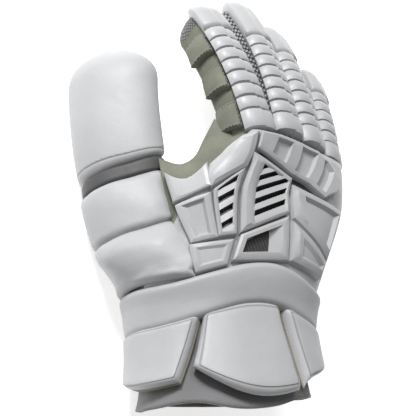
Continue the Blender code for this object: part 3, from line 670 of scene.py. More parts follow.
class Pattern:
    """A flat piece of leather, cloth or foam that is cut, raised, bevelled and then laid."""

    def __init__(self, name: str) -> None:
        """Start an empty pattern."""
        self.name = name
        self.mesh = bmesh.new()

    def outline(
        self, corners: Iterable[tuple[float, float]], unit: float = 0.001
    ) -> bmesh.types.BMFace:
        """Cut one flat face.

        Args:
            corners: (girth, reach) of each corner, in order.
            unit: how many metres one unit of the corners is.

        Returns:
            The face.
        """
        verts = [self.mesh.verts.new((x * unit, y * unit, 0.0)) for x, y in corners]
        face = self.mesh.faces.new(verts)
        self.mesh.normal_update()
        if face.normal.z < 0:
            face.normal_flip()
        return face

    def raise_face(self, face: bmesh.types.BMFace, height: float) -> bmesh.types.BMFace:
        """Extrude a face upwards, closed underneath, and return its top."""
        made = bmesh.ops.extrude_face_region(self.mesh, geom=[face])["geom"]
        tops = [item for item in made if isinstance(item, bmesh.types.BMFace)]
        lifted = [item for item in made if isinstance(item, bmesh.types.BMVert)]
        bmesh.ops.translate(self.mesh, vec=(0.0, 0.0, height), verts=lifted)
        self.mesh.normal_update()
        return tops[0]

    def bevel(self, edges: Sequence[bmesh.types.BMEdge], width: float) -> None:
        """Round some edges off."""
        bmesh.ops.bevel(
            self.mesh, geom=edges, offset=width, offset_type="OFFSET", affect="EDGES", segments=2,
            profile=0.5, material=-1,
        )

    def round_rim(self, face: bmesh.types.BMFace, width: float) -> bmesh.types.BMFace:
        """Bevel the edges round a face and return the face that is left."""
        self.bevel(list(face.edges), width)
        self.mesh.normal_update()
        return self.top()

    def slice(self, spot: Sequence[float], normal: Sequence[float]) -> None:
        """Cut every face that a plane crosses."""
        geom = self.mesh.verts[:] + self.mesh.edges[:] + self.mesh.faces[:]
        bmesh.ops.bisect_plane(self.mesh, geom=geom, plane_co=spot, plane_no=normal, dist=WELD)

    def top(self) -> bmesh.types.BMFace:
        """Return the largest face that looks straight up."""
        up = [face for face in self.mesh.faces if face.normal.z > 0.99]
        return max(up, key=lambda face: face.calc_area() + face.calc_center_median().z)

    def sink(
        self, face: bmesh.types.BMFace, margin: float, slope: float, depth: float, slot: int = 0
    ) -> None:
        """Sink the middle of a face between sloping walls.

        Args:
            face: the face that gets the panel.
            margin: width of the border that stays.
            slope: width of the sloping wall.
            depth: how deep the floor lies.
            slot: the material slot of the floor.
        """
        bmesh.ops.inset_region(self.mesh, faces=[face], thickness=margin, use_even_offset=True)
        bmesh.ops.inset_region(
            self.mesh, faces=[face], thickness=slope, depth=-depth, use_even_offset=True
        )
        face.material_index = slot

    def grid_cut(self, step_x: float, step_y: float) -> None:
        """Cut the pattern into strips, so that it can bend."""
        for axis, step in ((0, step_x), (1, step_y)):
            if not step:
                continue
            values = [vert.co[axis] for vert in self.mesh.verts]
            low, high = min(values), max(values)
            count = max(int((high - low) / step), 1)
            normal = (1.0, 0.0, 0.0) if axis == 0 else (0.0, 1.0, 0.0)
            for number in range(1, count):
                spot = [0.0, 0.0, 0.0]
                spot[axis] = mix(low, high, number / count)
                self.slice(spot, normal)

    def sheet(self, columns: int, rows: int, place: Callable[[float, float], Vector]) -> None:
        """Lay a grid of cells; place(u, v) gives each corner's flat place."""
        bmesh.ops.create_grid(self.mesh, x_segments=columns, y_segments=rows, size=0.5)
        for vert in self.mesh.verts:
            vert.co = place(vert.co.x + 0.5, vert.co.y + 0.5)

    def chart(self, radius: float = 1.0) -> None:
        """Keep the flat places as the piece's own map, in metres.

        Args:
            radius: metres per unit of X, for a piece whose X is a turn in radians.
        """
        layer = self.mesh.loops.layers.uv.new("pattern")
        for face in self.mesh.faces:
            for loop in face.loops:
                loop[layer].uv = (loop.vert.co.x * radius, loop.vert.co.y)

    def finish(
        self,
        wrap: Callable[[Vector], Vector],
        finishes: Sequence[Finish],
        slot: str,
        replaces: Sequence[str] = (),
        smooth_angle: float = 40.0,
        levels: int = 0,
        merge: float = WELD,
    ) -> bpy.types.Object:
        """Lay the pattern, make its object and attach it to the root.

        Args:
            wrap: puts a flat place on the glove.
            finishes: one per material slot.
            slot: not used.
            replaces: the solids that the piece stands for.
            smooth_angle: edges sharper than this stay crisp.
            levels: how often the surface is subdivided.
            merge: corners nearer than this become one.

        Returns:
            The object.
        """
        if "pattern" not in self.mesh.loops.layers.uv:
            self.chart()
        for vert in self.mesh.verts:
            vert.co = wrap(vert.co)
        bmesh.ops.remove_doubles(self.mesh, verts=self.mesh.verts, dist=merge)
        bmesh.ops.recalc_face_normals(self.mesh, faces=self.mesh.faces)
        data = bpy.data.meshes.new(self.name)
        self.mesh.to_mesh(data)
        self.mesh.free()
        data.shade_smooth()
        data.set_sharp_from_angle(angle=math.radians(smooth_angle))
        made = added(self.name, data)
        for finish in finishes:
            data.materials.append(WARDROBE.get(finish))
        if levels:
            surface = made.modifiers.new("surface", "SUBSURF")
            surface.levels = surface.render_levels = levels
        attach(made, "root")
        if replaces:
            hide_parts(*replaces)
        log.info("%s: %d faces", self.name, len(data.polygons))
        return made


def eased(share: float, length: float, radius: float) -> float:
    """Gather the even cells of a grid towards both ends, where a pad rounds over.

    Args:
        share: an even share of the length.
        length: the pad's length.
        radius: the width of its rounded edge.
    """
    widest, zone = 0.3, 0.22
    edge = min(radius / length, widest)
    if share < zone:
        return edge * (1 - math.cos(share / zone * math.pi / 2))
    if share > 1 - zone:
        return 1 - edge * (1 - math.cos((1 - share) / zone * math.pi / 2))
    return mix(edge, 1 - edge, (share - zone) / (1 - 2 * zone))


def shoulder(distance: float, radius: float) -> float:
    """Return the height share of a rounded edge at a distance inside it."""
    if distance >= radius:
        return 1.0
    return math.sqrt(max(1 - (1 - distance / radius) ** 2, 0.0))


@dataclass
class Cushion:
    """A crowned pad over a four-sided field, with rounded edges and puckers along its seams.

    spot(u, v, lift) puts a share of the field and a lift on the glove.
    """

    name: str
    spot: Callable[[float, float, float], Vector]
    width: float
    length: float
    thickness: float
    radius: float = 0.0055
    base: float = 0.0
    crown: float = 0.0012
    columns: int = 32
    rows: int = 24
    pucker: float = 0.0005
    seed: float = 0.0
    finishes: tuple = (Wardrobe.pad,)
    slot: str = "white_leather"
    relief: Callable[[float, float], float] | None = None
    fold_scale: float = 160.0
    swell_scale: float = 45.0
    fold_reach: float = 0.006
    skirt: float = 0.0012

    def inside(self, u: float, v: float) -> tuple[float, float]:
        """Return how far a share of the field lies inside the pad's sides and its ends."""
        return min(u, 1 - u) * self.width, min(v, 1 - v) * self.length

    def height(self, u: float, v: float) -> float:
        """Return the lift of the top face at a share of the field."""
        across, along = self.inside(u, v)
        body = shoulder(across, self.radius) * shoulder(along, self.radius)
        dome = self.crown * math.sin(math.pi * u) ** 0.7
        dome *= math.sin(math.pi * min(max(v, 0.0), 1.0)) ** 0.5
        rim = min(across, along)
        x, y = u * self.width, v * self.length
        fine, wide, seed = self.fold_scale, self.swell_scale, self.seed
        fold = noise.noise(Vector((x * fine + seed, y * fine, seed)))
        swell = noise.noise(Vector((x * wide + seed, y * wide, seed + 7)))
        ripple = self.pucker * (fold * math.exp(-rim / self.fold_reach) + swell * 0.8)
        extra = self.relief(u, v) if self.relief else 0.0
        return self.base + (self.thickness + dome + ripple + extra) * body

    def make(self, replaces: Sequence[str], fill: float = 0.8) -> bpy.types.Object:
        pattern = Pattern(self.name)
        mesh = pattern.mesh
        bmesh.ops.create_grid(mesh, x_segments=self.columns, y_segments=self.rows, size=0.5)
        rim = mesh.verts.layers.float.new("rim")
        run = mesh.verts.layers.float.new("run")
        for vert in mesh.verts:
            u = eased(vert.co.x + 0.5, self.width, self.radius)
            v = eased(vert.co.y + 0.5, self.length, self.radius)
            across, along = self.inside(u, v)
            vert[rim] = min(across, along)
            vert[run] = v * self.length if across < along else u * self.width
            vert.co = Vector((u * self.width, v * self.length, self.height(u, v)))
        edges = [edge for edge in mesh.edges if edge.is_boundary]
        skirt = bmesh.ops.extrude_edge_only(mesh, edges=edges)["geom"]
        lowered = {item for item in skirt if isinstance(item, bmesh.types.BMVert)}
        for vert in lowered:
            vert.co.z = self.base - self.skirt
        bottom = [edge for edge in mesh.edges if edge.is_boundary]
        closing = bmesh.ops.holes_fill(mesh, edges=bottom, sides=0)["faces"]
        bmesh.ops.triangulate(mesh, faces=closing)
        made = pattern.finish(
            lambda flat: self.spot(flat.x / self.width, flat.y / self.length, flat.z),
            self.finishes,
            self.slot,
            replaces,
            smooth_angle=60.0,
            levels=1,
        )
        return made


# Fingers


@dataclass
class Finger:
    """One finger: its stall, its ribbed roll and its tip pad."""

    name: str
    skin: FingerSkin
    ribs: int
    block: float = 0.016
    pitch: float = 0.0105
    height: float = 0.0075
    left: float = math.radians(-47)
    right: float = math.radians(48)
    notch: float = 0.50
    notch_depth: float = 0.0030
    notch_half: float = 0.0008
    far_side_drop: float = 0.0013
    bevel: float = 0.0011
    wrist_bevel: float = 0.0032
    strip: float = 0.0032
    arch: float = 0.0010
    first_rise: float = 1.12
    gaps: tuple[float, float] = (0.0003, 0.0005)
    dome: float = 0.014
    radius: float = 0.0165
    mesh_turn: float = 128.0
    suede_turn: float = -44.0

    def girth(self, turn: float) -> float:
        """Return the tape length at a turn."""
        lengths = self.skin.tape(0.02, 1 if turn > 0 else -1)
        at = abs(turn) / math.pi * self.skin.steps
        index = int(at)
        return math.copysign(mix(lengths[index], lengths[index + 1], at - index), turn)

    def block_shape(self, start: float, end: float, height: float) -> Pattern:
        """Shape one foam block: flat top, notch along it, and a steep face towards the wrist."""
        left, right = self.girth(self.left), self.girth(self.right)
        pattern = Pattern("rib")
        corners = [(left, start), (right, start), (right, end), (left, end)]
        top = pattern.raise_face(pattern.outline(corners, 1.0), height)
        root = [edge for edge in top.edges if all(abs(v.co.y - start) < 1e-7 for v in edge.verts)]
        rest = [edge for edge in top.edges if edge not in root]
        wide = min(self.wrist_bevel, (end - start) * 0.34)
        for edges, width in ((root, wide), (rest, self.bevel)):
            pattern.bevel([edge for edge in edges if edge.is_valid], width)
        middle = mix(left, right, self.notch)
        for shift in (-self.notch_half, 0.0, self.notch_half):
            pattern.slice((middle + shift, 0, 0), (1, 0, 0))
        for vert in pattern.mesh.verts:
            if vert.co.z > height * 0.5 and abs(vert.co.x - middle) < 1e-5:
                vert.co.z -= self.notch_depth
            elif vert.co.z > height * 0.5 and vert.co.x > middle:
                vert.co.z -= self.far_side_drop
        pattern.grid_cut(self.strip, 0.0)
        for vert in pattern.mesh.verts:
            share = (vert.co.x - left) / (right - left)
            if vert.co.z > height * 0.3:
                bow = self.arch * (1 - (2 * share - 1) ** 2)
                vert.co.y += bow * (1 if vert.co.y < (start + end) / 2 else 0.3)
                vert.co.z *= mix(0.80, 1.0, smooth(min(share, 1 - share) * 7))
        return pattern

    def roll(self) -> None:
        """Make the knuckle block and the ribs as one roll."""
        edges = [0.0008] + [self.block + self.pitch * number for number in range(self.ribs + 1)]
        roll = Pattern(f"{self.name}_rib_roll")
        for number, (start, end) in enumerate(zip(edges, edges[1:])):
            tall = self.height * (1.0 if number else self.first_rise)
            one = self.block_shape(start + self.gaps[0], end - self.gaps[1], tall).mesh
            data = bpy.data.meshes.new("rib")
            one.to_mesh(data)
            one.free()
            roll.mesh.from_mesh(data)
            bpy.data.meshes.remove(data)
        made = roll.finish(
            self.skin.wrap, (Wardrobe.foam,), "white_foam", (f"{self.name}_roll",), 28.0
        )

    def domed(self, reach: float, turn: float, lift: float) -> Vector:
        """Return a place on the finger whose tip closes in a dome."""
        length = self.skin.length
        tip = length + lift * 0.6
        start = length - self.dome
        if reach <= start:
            return laid(self.skin.point(reach, turn, lift))
        share = min((reach - start) / (length - start), 1.0)
        angle = share * math.pi / 2
        along = start + (tip - start) * math.sin(angle)
        return laid(self.skin.point(along, turn, lift, max(math.cos(angle), 0.001)))

    def tip_pad(self) -> None:
        """Make the long smooth pad over the finger tip."""
        start = self.block + self.pitch * self.ribs + 0.0006
        end = self.skin.length - 0.0012
        left, right = self.left, self.right

        def spot(u: float, v: float, lift: float) -> Vector:
            """Return a place of the pad, which narrows towards the tip."""
            pinch = 1.0 - 0.22 * smooth((v - 0.75) / 0.25)
            centre = (left + right) / 2
            turn = centre + (mix(left, right, u) - centre) * pinch
            return self.domed(mix(start, end, v), turn, lift)

        def fold(u: float, v: float) -> float:
            """Return the depth of the fold that carries on the ribs' notch."""
            return -0.0009 * math.exp(-(((u - self.notch) / 0.028) ** 2)) * smooth((0.93 - v) / 0.1)

        Cushion(
            f"{self.name}_tip_cap", spot, self.girth(right) - self.girth(left), end - start,
            self.height, radius=0.0040, columns=40, rows=26, crown=0.0005, pucker=0.00015,
            finishes=(Wardrobe.foam,), slot="white_foam", relief=fold, seed=len(self.name),
        ).make((f"{self.name}_tip_pad",), 0.9)

    def stall(self) -> None:
        """Make the leather and mesh stall under the pads."""
        start, end = -0.004, self.skin.length
        pattern = Pattern(f"{self.name}_stall")

        def place(u: float, v: float) -> Vector:
            """Return a flat place as turn and reach."""
            return Vector((mix(-math.pi, math.pi, u), mix(start, end, v), 0.0))

        pattern.sheet(48, 48, place)
        pattern.chart(self.radius)
        for face in pattern.mesh.faces:
            centre = face.calc_center_median()
            turn = math.degrees(centre.x)
            if abs(turn) > self.mesh_turn:
                face.material_index = 1
            elif self.name == "index" and turn < self.suede_turn:
                face.material_index = 3 if centre.y > end - 0.021 - turn * 0.00004 else 2
        pattern.finish(
            lambda flat: self.domed(flat.y, flat.x, flat.z),
            (Wardrobe.coarse, Wardrobe.palm, Wardrobe.suede, Wardrobe.fine),
            "grey_mesh",
            (f"{self.name}_sheath",),
            60.0,
            merge=1e-5,
        )

    def make(self) -> None:
        """Make the finger."""
        self.stall()
        self.roll()
        self.tip_pad()


FINGERS = (
    Finger("index", FingerSkin(Vector((-0.04347, -0.0030, 0.0)), -6.0, 0.121, -8.0, 34.0), 7),
    Finger("middle", FingerSkin(Vector((-0.01449, 0.0010, 0.0015)), 1.0, 0.139, -2.0, 34.0), 7),
    Finger("ring", FingerSkin(Vector((0.01449, -0.0010, -0.0010)), 5.0, 0.131, 5.0, 34.0), 7),
    Finger("little", FingerSkin(Vector((0.04298, -0.0050, -0.0080)), 13.0, 0.105, 12.0, 30.0), 5),
)


@dataclass
class FlexPads:
    """The three stitched suede pads on the thumb side of the index finger."""

    finger: Finger
    count: int = 3
    first: float = 0.008
    length: float = 0.0238
    thickness: float = 0.0034
    fall: float = 0.62
    lip: float = 0.0010
    low: float = math.radians(-122)
    high: float = math.radians(-49)

    def make(self) -> None:
        """Make the pads, each rising to a folded lip above a dark slit."""
        skin = self.finger.skin
        pitch = (skin.length - self.finger.dome - self.first) / self.count
        width = abs(self.finger.girth(self.low) - self.finger.girth(self.high))
        for number in range(self.count):
            start = self.first + number * pitch

            def spot(u: float, v: float, lift: float, start: float = start) -> Vector:
                """Return a place of the pad, whose ends run askew."""
                reach = start + self.length * v + 0.006 * (0.5 - u) * (1 - v) - 0.004 * u * v
                return laid(skin.point(reach, mix(self.low, self.high, u), lift))

            def wedge(u: float, v: float) -> float:
                """Return the height of the lip less the fall towards the tip."""
                lip = self.lip * math.exp(-(((v - 0.05) / 0.06) ** 2))
                return lip - self.thickness * self.fall * smooth(v)

            Cushion(
                f"flex_pad_{number + 1}", spot, width, self.length, self.thickness, radius=0.0030,
                base=0.0004, crown=0.0012, columns=28, rows=22, pucker=0.0004,
                finishes=(Wardrobe.flex,), slot="grey_suede", relief=wedge, seed=number * 3.0,
            ).make((f"index_side_pad_{number + 1}",), 0.6)


# Backhand


@dataclass(frozen=True)
class PlateCut:
    """One moulded plate: corners (girth, hand Y) in millimetres and how it is worked.

    In a plate with a border or slots the first two corners are the wrist side, and the last is the
    thumb side's far end. Border is the width of a smooth ridge that stays along the thumb side.
    """

    name: str
    corners: tuple[tuple[float, float], ...]
    height: float = 8.0
    chamfer: float = 2.2
    panel: float = 0.0
    slots: int = 0
    border: float = 0.0
    window: bool = False


PLATES = (
    PlateCut(
        "upper_radial_plate",
        ((-65, -46), (-52, -30), (-59, -4), (-70, -7), (-79, -14), (-86, -26)),
        chamfer=3.6, height=8.4,
    ),
    PlateCut(
        "middle_radial_plate", ((-56, -85), (-40, -81), (-63, -50), (-84, -57)), panel=2.6,
        chamfer=1.8,
    ),
    PlateCut(
        "radial_vent_plate", ((-39, -80), (-28, -78), (-52, -32), (-61, -48)), slots=4, chamfer=1.0
    ),
    PlateCut(
        "centre_vent_plate", ((-24.5, -77), (6, -59), (-8, -33), (-54, -20)), slots=5, border=8.0,
        chamfer=1.6, height=9.0,
    ),
    PlateCut(
        "wrist_plate", ((-19.5, -97), (24, -94), (8, -62), (-23, -79)), window=True, chamfer=2.0
    ),
    PlateCut(
        "upper_ulnar_plate", ((14, -62), (66, -88), (62, -48), (-3.5, -36)), chamfer=2.8, panel=2.8,
        border=9.0,
    ),
    PlateCut(
        "lower_ulnar_plate", ((27, -94), (67, -102), (66, -90), (14, -64)), chamfer=2.8, panel=1.8,
        border=7.0,
    ),
    PlateCut(
        "lower_radial_plate", ((-43, -106), (-23, -100), (-27, -83), (-56, -87)), chamfer=1.6,
        panel=1.2,
    ),
)
BAR_CORNERS = (
    (-54, -17), (-35, -23), (-14, -29.5), (10, -34), (33, -42), (43, -33), (40, -20), (22, -8),
    (5, -4), (-14, -3), (-37, -3), (-57, -4),
)
BAR_CUTS = (-41.0, -22.0, -13.0, 6.0, 15.0, 31.0)
GROOVE = ((-50.0, -20.5), (-30.0, -28.0), (-14.0, -32.0), (10.0, -37.0), (34.0, -46.0))


def grown(corners: Sequence[tuple[float, float]], by: float) -> list[tuple[float, float]]:
    """Move each side of an outline outwards.

    Args:
        corners: the outline, turning anticlockwise or clockwise.
        by: how far each side moves.

    Returns:
        The corners of the larger outline.
    """
    spots = [Vector(corner) for corner in corners]
    turn = sum(one.x * two.y - two.x * one.y for one, two in zip(spots, spots[1:] + spots[:1]))
    side = 1.0 if turn > 0 else -1.0
    moved = []
    for number, spot in enumerate(spots):
        before, after = spots[number - 1], spots[(number + 1) % len(spots)]
        coming, going = (spot - before).normalized(), (after - spot).normalized()
        first = Vector((coming.y, -coming.x)) * side
        second = Vector((going.y, -going.x)) * side
        bend = max(1.0 + first.dot(second), 0.5)
        at = spot + (first + second) / bend * by
        moved.append((at.x, at.y))
    return moved


@dataclass
class Backhand:
    """The moulded plates, the bar across the knuckles and the leather between them.

    Spread is how far each side of a plate is moved out, in millimetres, to narrow the grooves.
    """

    spread: float = 1.1
    window_depth: float = 0.0043
    window_shift: float = 0.0085
    slot_depth: float = 0.0044
    slat_drop: float = 0.0014
    bar_height: float = 0.0096
    shaded_webbing_width: float = 5.0
    shaded_webbing_lift: float = 0.0042
    shell_wall: float = 0.0022
    shell_ends: tuple[float, float] = (-0.1275, -0.0012)
    shell_lift: float = 0.0030
    shell_radius: float = 0.055
    palm_turn: float = math.radians(104)
    side_turn: float = math.radians(70)

    def plate(self, cut: PlateCut) -> None:
        """Make one plate."""
        pattern = Pattern(f"{cut.name}_shell")
        flat = pattern.outline(grown(cut.corners, self.spread))
        top = pattern.raise_face(flat, cut.height / 1000)
        top = pattern.round_rim(top, (cut.chamfer + self.spread) / 1000)
        if cut.border:
            top = self.beside_ridge(pattern, top, cut)
        if cut.panel:
            pattern.sink(top, 0.0014, 0.0020, cut.panel / 1000)
        if cut.window:
            # The window's sunk floor takes the near-black mesh, as painted shade.
            pattern.sink(top, 0.0030, 0.0012, self.window_depth, 1)
            floor = sorted(top.verts, key=lambda vert: vert.co.x)[-2:]
            bmesh.ops.translate(pattern.mesh, vec=(-self.window_shift, 0.0, 0.0), verts=floor)
        if cut.slots:
            self.louvres(pattern, top, cut)
        pattern.grid_cut(0.006, 0.008)
        made = pattern.finish(
            HAND.wrap, (Wardrobe.foam, Wardrobe.vent), "white_foam", (cut.name,), 24.0
        )

    def split(
        self, mesh: bmesh.types.BMesh, panes: list[bmesh.types.BMFace], spot: Vector, normal: Vector
    ) -> list[bmesh.types.BMFace]:
        """Cut faces with a plane and return all the parts."""
        edges = {edge for face in panes for edge in face.edges}
        verts = {vert for face in panes for vert in face.verts}
        geom = panes + list(edges) + list(verts)
        made = bmesh.ops.bisect_plane(mesh, geom=geom, plane_co=spot, plane_no=normal, dist=WELD)
        return [item for item in made["geom"] if isinstance(item, bmesh.types.BMFace)]

    def beside_ridge(
        self, pattern: Pattern, top: bmesh.types.BMFace, cut: PlateCut
    ) -> bmesh.types.BMFace:
        """Leave a ridge along the thumb side and return the field beside it."""
        low, high = (Vector((*cut.corners[number], 0.0)) / 1000 for number in (0, -1))
        run = (high - low).normalized()
        inward = Vector((run.y, -run.x, 0.0))
        parts = self.split(pattern.mesh, [top], low + inward * cut.border / 1000, inward)
        field_side = max(parts, key=lambda face: face.calc_center_median().dot(inward))
        ridge = min(parts, key=lambda face: face.calc_center_median().dot(inward))
        bmesh.ops.inset_region(pattern.mesh, faces=[ridge], thickness=0.0022, depth=0.0008)
        return field_side

    def louvres(self, pattern: Pattern, top: bmesh.types.BMFace, cut: PlateCut) -> None:
        """Cut a row of louvres across a plate's top, each a slot darkened with painted shade above
        a leaning slat.
        """
        mesh = pattern.mesh
        bmesh.ops.inset_region(mesh, faces=[top], thickness=0.0011, use_even_offset=True)
        corners = [Vector((x, y, 0)) / 1000 for x, y in cut.corners]
        low_left, low_right, high_right, high_left = corners
        across = (low_right - low_left + high_right - high_left).normalized()
        if cut.border:
            across = (low_right - low_left).normalized()
        normal = Vector((-across.y, across.x, 0.0))
        reach = [vert.co.dot(normal) for vert in top.verts]
        low, high = min(reach), max(reach)
        panes = [top]
        for number in range(1, cut.slots * 2):
            share = (number // 2 + (0.56 if number % 2 else 0.0)) / cut.slots
            panes = self.split(mesh, panes, normal * mix(low, high, share), normal)
        panes.sort(key=lambda face: face.calc_center_median().dot(normal))
        for number, pane in enumerate(panes):
            if number % 2:
                made = bmesh.ops.inset_region(
                    mesh, faces=[pane], thickness=0.0002, depth=-self.slot_depth
                )
                # The slot's floor and walls take the near-black mesh, as painted shade.
                for face in [pane, *made["faces"]]:
                    face.material_index = 1
                continue
            for vert in pane.verts:
                if vert.co.dot(normal) > pane.calc_center_median().dot(normal):
                    vert.co.z -= self.slat_drop

    def bar(self) -> None:
        """Make the bar across the knuckles with its three sunk panels."""
        pattern = Pattern("knuckle_bar_shell")
        top = pattern.raise_face(pattern.outline(BAR_CORNERS), self.bar_height)
        top = pattern.round_rim(top, 0.0020)
        panes = [top]
        for girth in BAR_CUTS:
            spot = Vector((girth / 1000, 0, 0))
            panes = self.split(pattern.mesh, panes, spot, Vector((1, 0, 0)))
        panes.sort(key=lambda face: face.calc_center_median().x)
        for pane in panes[1::2]:
            pattern.sink(pane, 0.0011, 0.0016, 0.0030)
        pattern.grid_cut(0.006, 0.006)
        made = pattern.finish(HAND.wrap, (Wardrobe.foam,), "white_foam", ("knuckle_bar",), 24.0)

    def groove(self) -> None:
        """Lay the webbing in the groove under the knuckle bar, near-black as painted shade."""
        pattern = Pattern("knuckle_groove_shaded_webbing")

        def place(u: float, v: float) -> Vector:
            """Return a flat place of the webbing."""
            x = mix(GROOVE[0][0], GROOVE[-1][0], u)
            y = follow(GROOVE, x) + (v - 0.5) * self.shaded_webbing_width
            return Vector((x / 1000, y / 1000, self.shaded_webbing_lift))

        pattern.sheet(24, 2, place)
        pattern.finish(HAND.wrap, (Wardrobe.vent,), "grey_mesh", (), 60.0)

    def backing(self) -> None:
        """Make the hand part of the inner glove, with plain leather in the palm."""
        pattern = Pattern("hand_shell")

        def place(u: float, v: float) -> Vector:
            """Return a flat place as turn and hand Y."""
            return Vector((mix(-math.pi, math.pi, u), mix(*self.shell_ends, v), 0.0))

        pattern.sheet(72, 30, place)
        pattern.chart(self.shell_radius)
        for face in pattern.mesh.faces:
            turn = abs(face.calc_center_median().x)
            if turn > self.palm_turn:
                face.material_index = 1
            elif turn > self.side_turn:
                face.material_index = 2

        def wrap(flat: Vector) -> Vector:
            """Lay a place on the hand, raised over its back."""
            back = smooth((math.radians(82) - abs(flat.x)) / math.radians(20))
            return laid(HAND.point(-flat.y, flat.x, self.shell_lift * back))

        made = pattern.finish(
            wrap, (Wardrobe.foam, Wardrobe.palm, Wardrobe.suede), "white_leather", ("palm_shell",),
            60.0, merge=1e-5,
        )
        thicken(made, self.shell_wall, -1.0)

    def make(self) -> None:
        """Make the back of the hand."""
        self.backing()
        for cut in PLATES:
            self.plate(cut)
        self.bar()
        self.groove()


# Thumb


@dataclass
class ThumbPadding:
    """Tip pad, stripe, middle pad and base pad on the thumb, and the stall inside them."""

    arc: tuple[float, float] = (math.radians(-108), math.radians(90))
    dome: float = 0.022
    length: float = 0.196
    pad: float = 0.0078
    stripe: float = 0.0050
    slant: float = 0.05
    width: float = 0.094
    stall_end: float = 0.185
    stall_radius: float = 0.02
    outward: Vector = field(default_factory=lambda: Vector((0.65, 0.0, 0.60)))
    middle_lean: float = 0.0060
    base_lean: float = 0.0175
    base_start: float = 0.742
    base_on_thumb: float = 0.040
    base_seam: tuple = ((0.0, -0.0721), (0.45, -0.0581), (1.0, -0.0441))
    base_outer: float = -0.1365
    base_ends: tuple[float, float] = (0.1124, 0.1056)
    base_bulge: float = 0.009

    def spot(
        self, start: float, end: float, slant_start: float, slant_end: float
    ) -> Callable[[float, float, float], Vector]:
        """Return the field of a pad between two reaches, each with its own slant.

        Args:
            start: reach from the tip of the pad's upper edge.
            end: reach of its lower edge.
            slant_start: how much the upper edge climbs towards the hand, as a share of the length.
            slant_end: the same for the lower edge.

        Returns:
            A function from a share of the field and a lift to a place in the scene.
        """

        def place(u: float, v: float, lift: float) -> Vector:
            """Return a place of the pad, which closes over the tip in a dome."""
            turn = mix(*self.arc, u)
            lean = mix(slant_end, slant_start, v) * self.length * math.sin(turn)
            reach = mix(end, start, v)
            if reach < self.dome:
                angle = (1 - max(reach, 0.0) / self.dome) * math.pi / 2
                along = self.dome - (self.dome + lift * 0.6) * math.sin(angle)
                return laid(THUMB.point(along - lean, turn, lift, max(math.cos(angle), 0.001)))
            return laid(THUMB.point(reach - lean, turn, lift))

        return place

    def middle_spot(self, u: float, v: float, lift: float) -> Vector:
        """Return the field of the middle pad, whose inner side leans out to the plates."""
        lean = self.middle_lean * max(u, 0.0) ** 7 * max(1.0 - v, 0.0) ** 0.5
        place = self.spot(0.1050, 0.1470, self.slant, self.slant)
        return place(u, v, lift) + self.outward * lean

    def base_spot(self, u: float, v: float, lift: float) -> Vector:
        """Return the field of the base pad, which runs from the thumb on to the wrist."""
        down = (1 - v) * 1.10 - 0.02
        turn = mix(*self.arc, u)
        start = (self.base_start - self.slant * math.sin(turn)) * self.length
        on_thumb = THUMB.point(start + down * self.base_on_thumb, turn, lift)
        girth = mix(self.base_outer, follow(self.base_seam, down), u)
        first = self.length * self.base_start - THUMB.start
        reach = mix(first, mix(*self.base_ends, u), down)
        on_hand = HAND.point(reach, HAND.turn(reach, girth), lift)
        share = max(lift / self.pad, 0.0)
        bulge = Vector((-self.base_bulge * share * math.sin(math.pi * down), 0.0, 0.0))
        swing = max(math.sin(math.pi * min(max(down, 0.0) / 0.95, 1.0)), 0.0)
        bulge += self.outward * (self.base_lean * max(u, 0.0) ** 5 * swing**0.7)
        return laid(on_thumb.lerp(on_hand, max(down, 0.0) ** 1.4) + bulge)

    def stall(self) -> None:
        """Make the suede stall."""
        pattern = Pattern("thumb_stall")

        def place(u: float, v: float) -> Vector:
            """Return a flat place as turn and reach."""
            return Vector((mix(-math.pi, math.pi, u), mix(self.stall_end, 0.0, v), 0.0))

        pattern.sheet(48, 48, place)
        pattern.chart(self.stall_radius)

        def wrap(flat: Vector) -> Vector:
            """Lay a place on the thumb, closed at the tip in a dome."""
            if flat.y < self.dome:
                angle = (1 - flat.y / self.dome) * math.pi / 2
                along = self.dome * (1 - math.sin(angle))
                return laid(THUMB.point(along, flat.x, 0.0, max(math.cos(angle), 0.001)))
            return laid(THUMB.point(flat.y, flat.x, 0.0))

        pattern.finish(wrap, (Wardrobe.suede,), "grey_suede", ("thumb_sheath",), 60.0, merge=1e-5)

    def make(self) -> None:
        """Make the thumb."""
        self.stall()
        slant, width = self.slant, self.width
        Cushion(
            "thumb_tip_cushion", self.spot(0.0008, 0.0955, 0.0, slant), width, 0.0947, self.pad,
            radius=0.0060, base=0.0006, crown=0.0012, columns=44, rows=40, pucker=0.0004,
            finishes=(Wardrobe.rim_pad,), seed=1.0,
        ).make(("thumb_tip_pad",), 0.9)
        Cushion(
            "thumb_stripe_band", self.spot(0.0940, 0.1065, slant, slant), width, 0.0095,
            self.stripe, radius=0.0018, base=0.0018, crown=0.0003, columns=44, rows=10,
            pucker=0.0003, finishes=(Wardrobe.stripe,), slot="grey_stripe", seed=2.0,
        ).make(("thumb_stripe",), 0.7)
        Cushion(
            "thumb_middle_cushion", self.middle_spot, width, 0.0385, self.pad,
            radius=0.0050, base=0.0006, crown=0.0018, columns=44, rows=24, pucker=0.0013,
            finishes=(Wardrobe.pad,), seed=3.0,
        ).make(("thumb_mid_pad",), 0.9)
        Cushion(
            "thumb_base_cushion", self.base_spot, 0.092, 0.050, self.pad,
            radius=0.0052, base=0.0006, crown=0.0022, columns=44, rows=32, pucker=0.0015,
            finishes=(Wardrobe.pad,), seed=4.0,
        ).make(("thumb_base_pad",), 0.9)


# Web between thumb and index finger


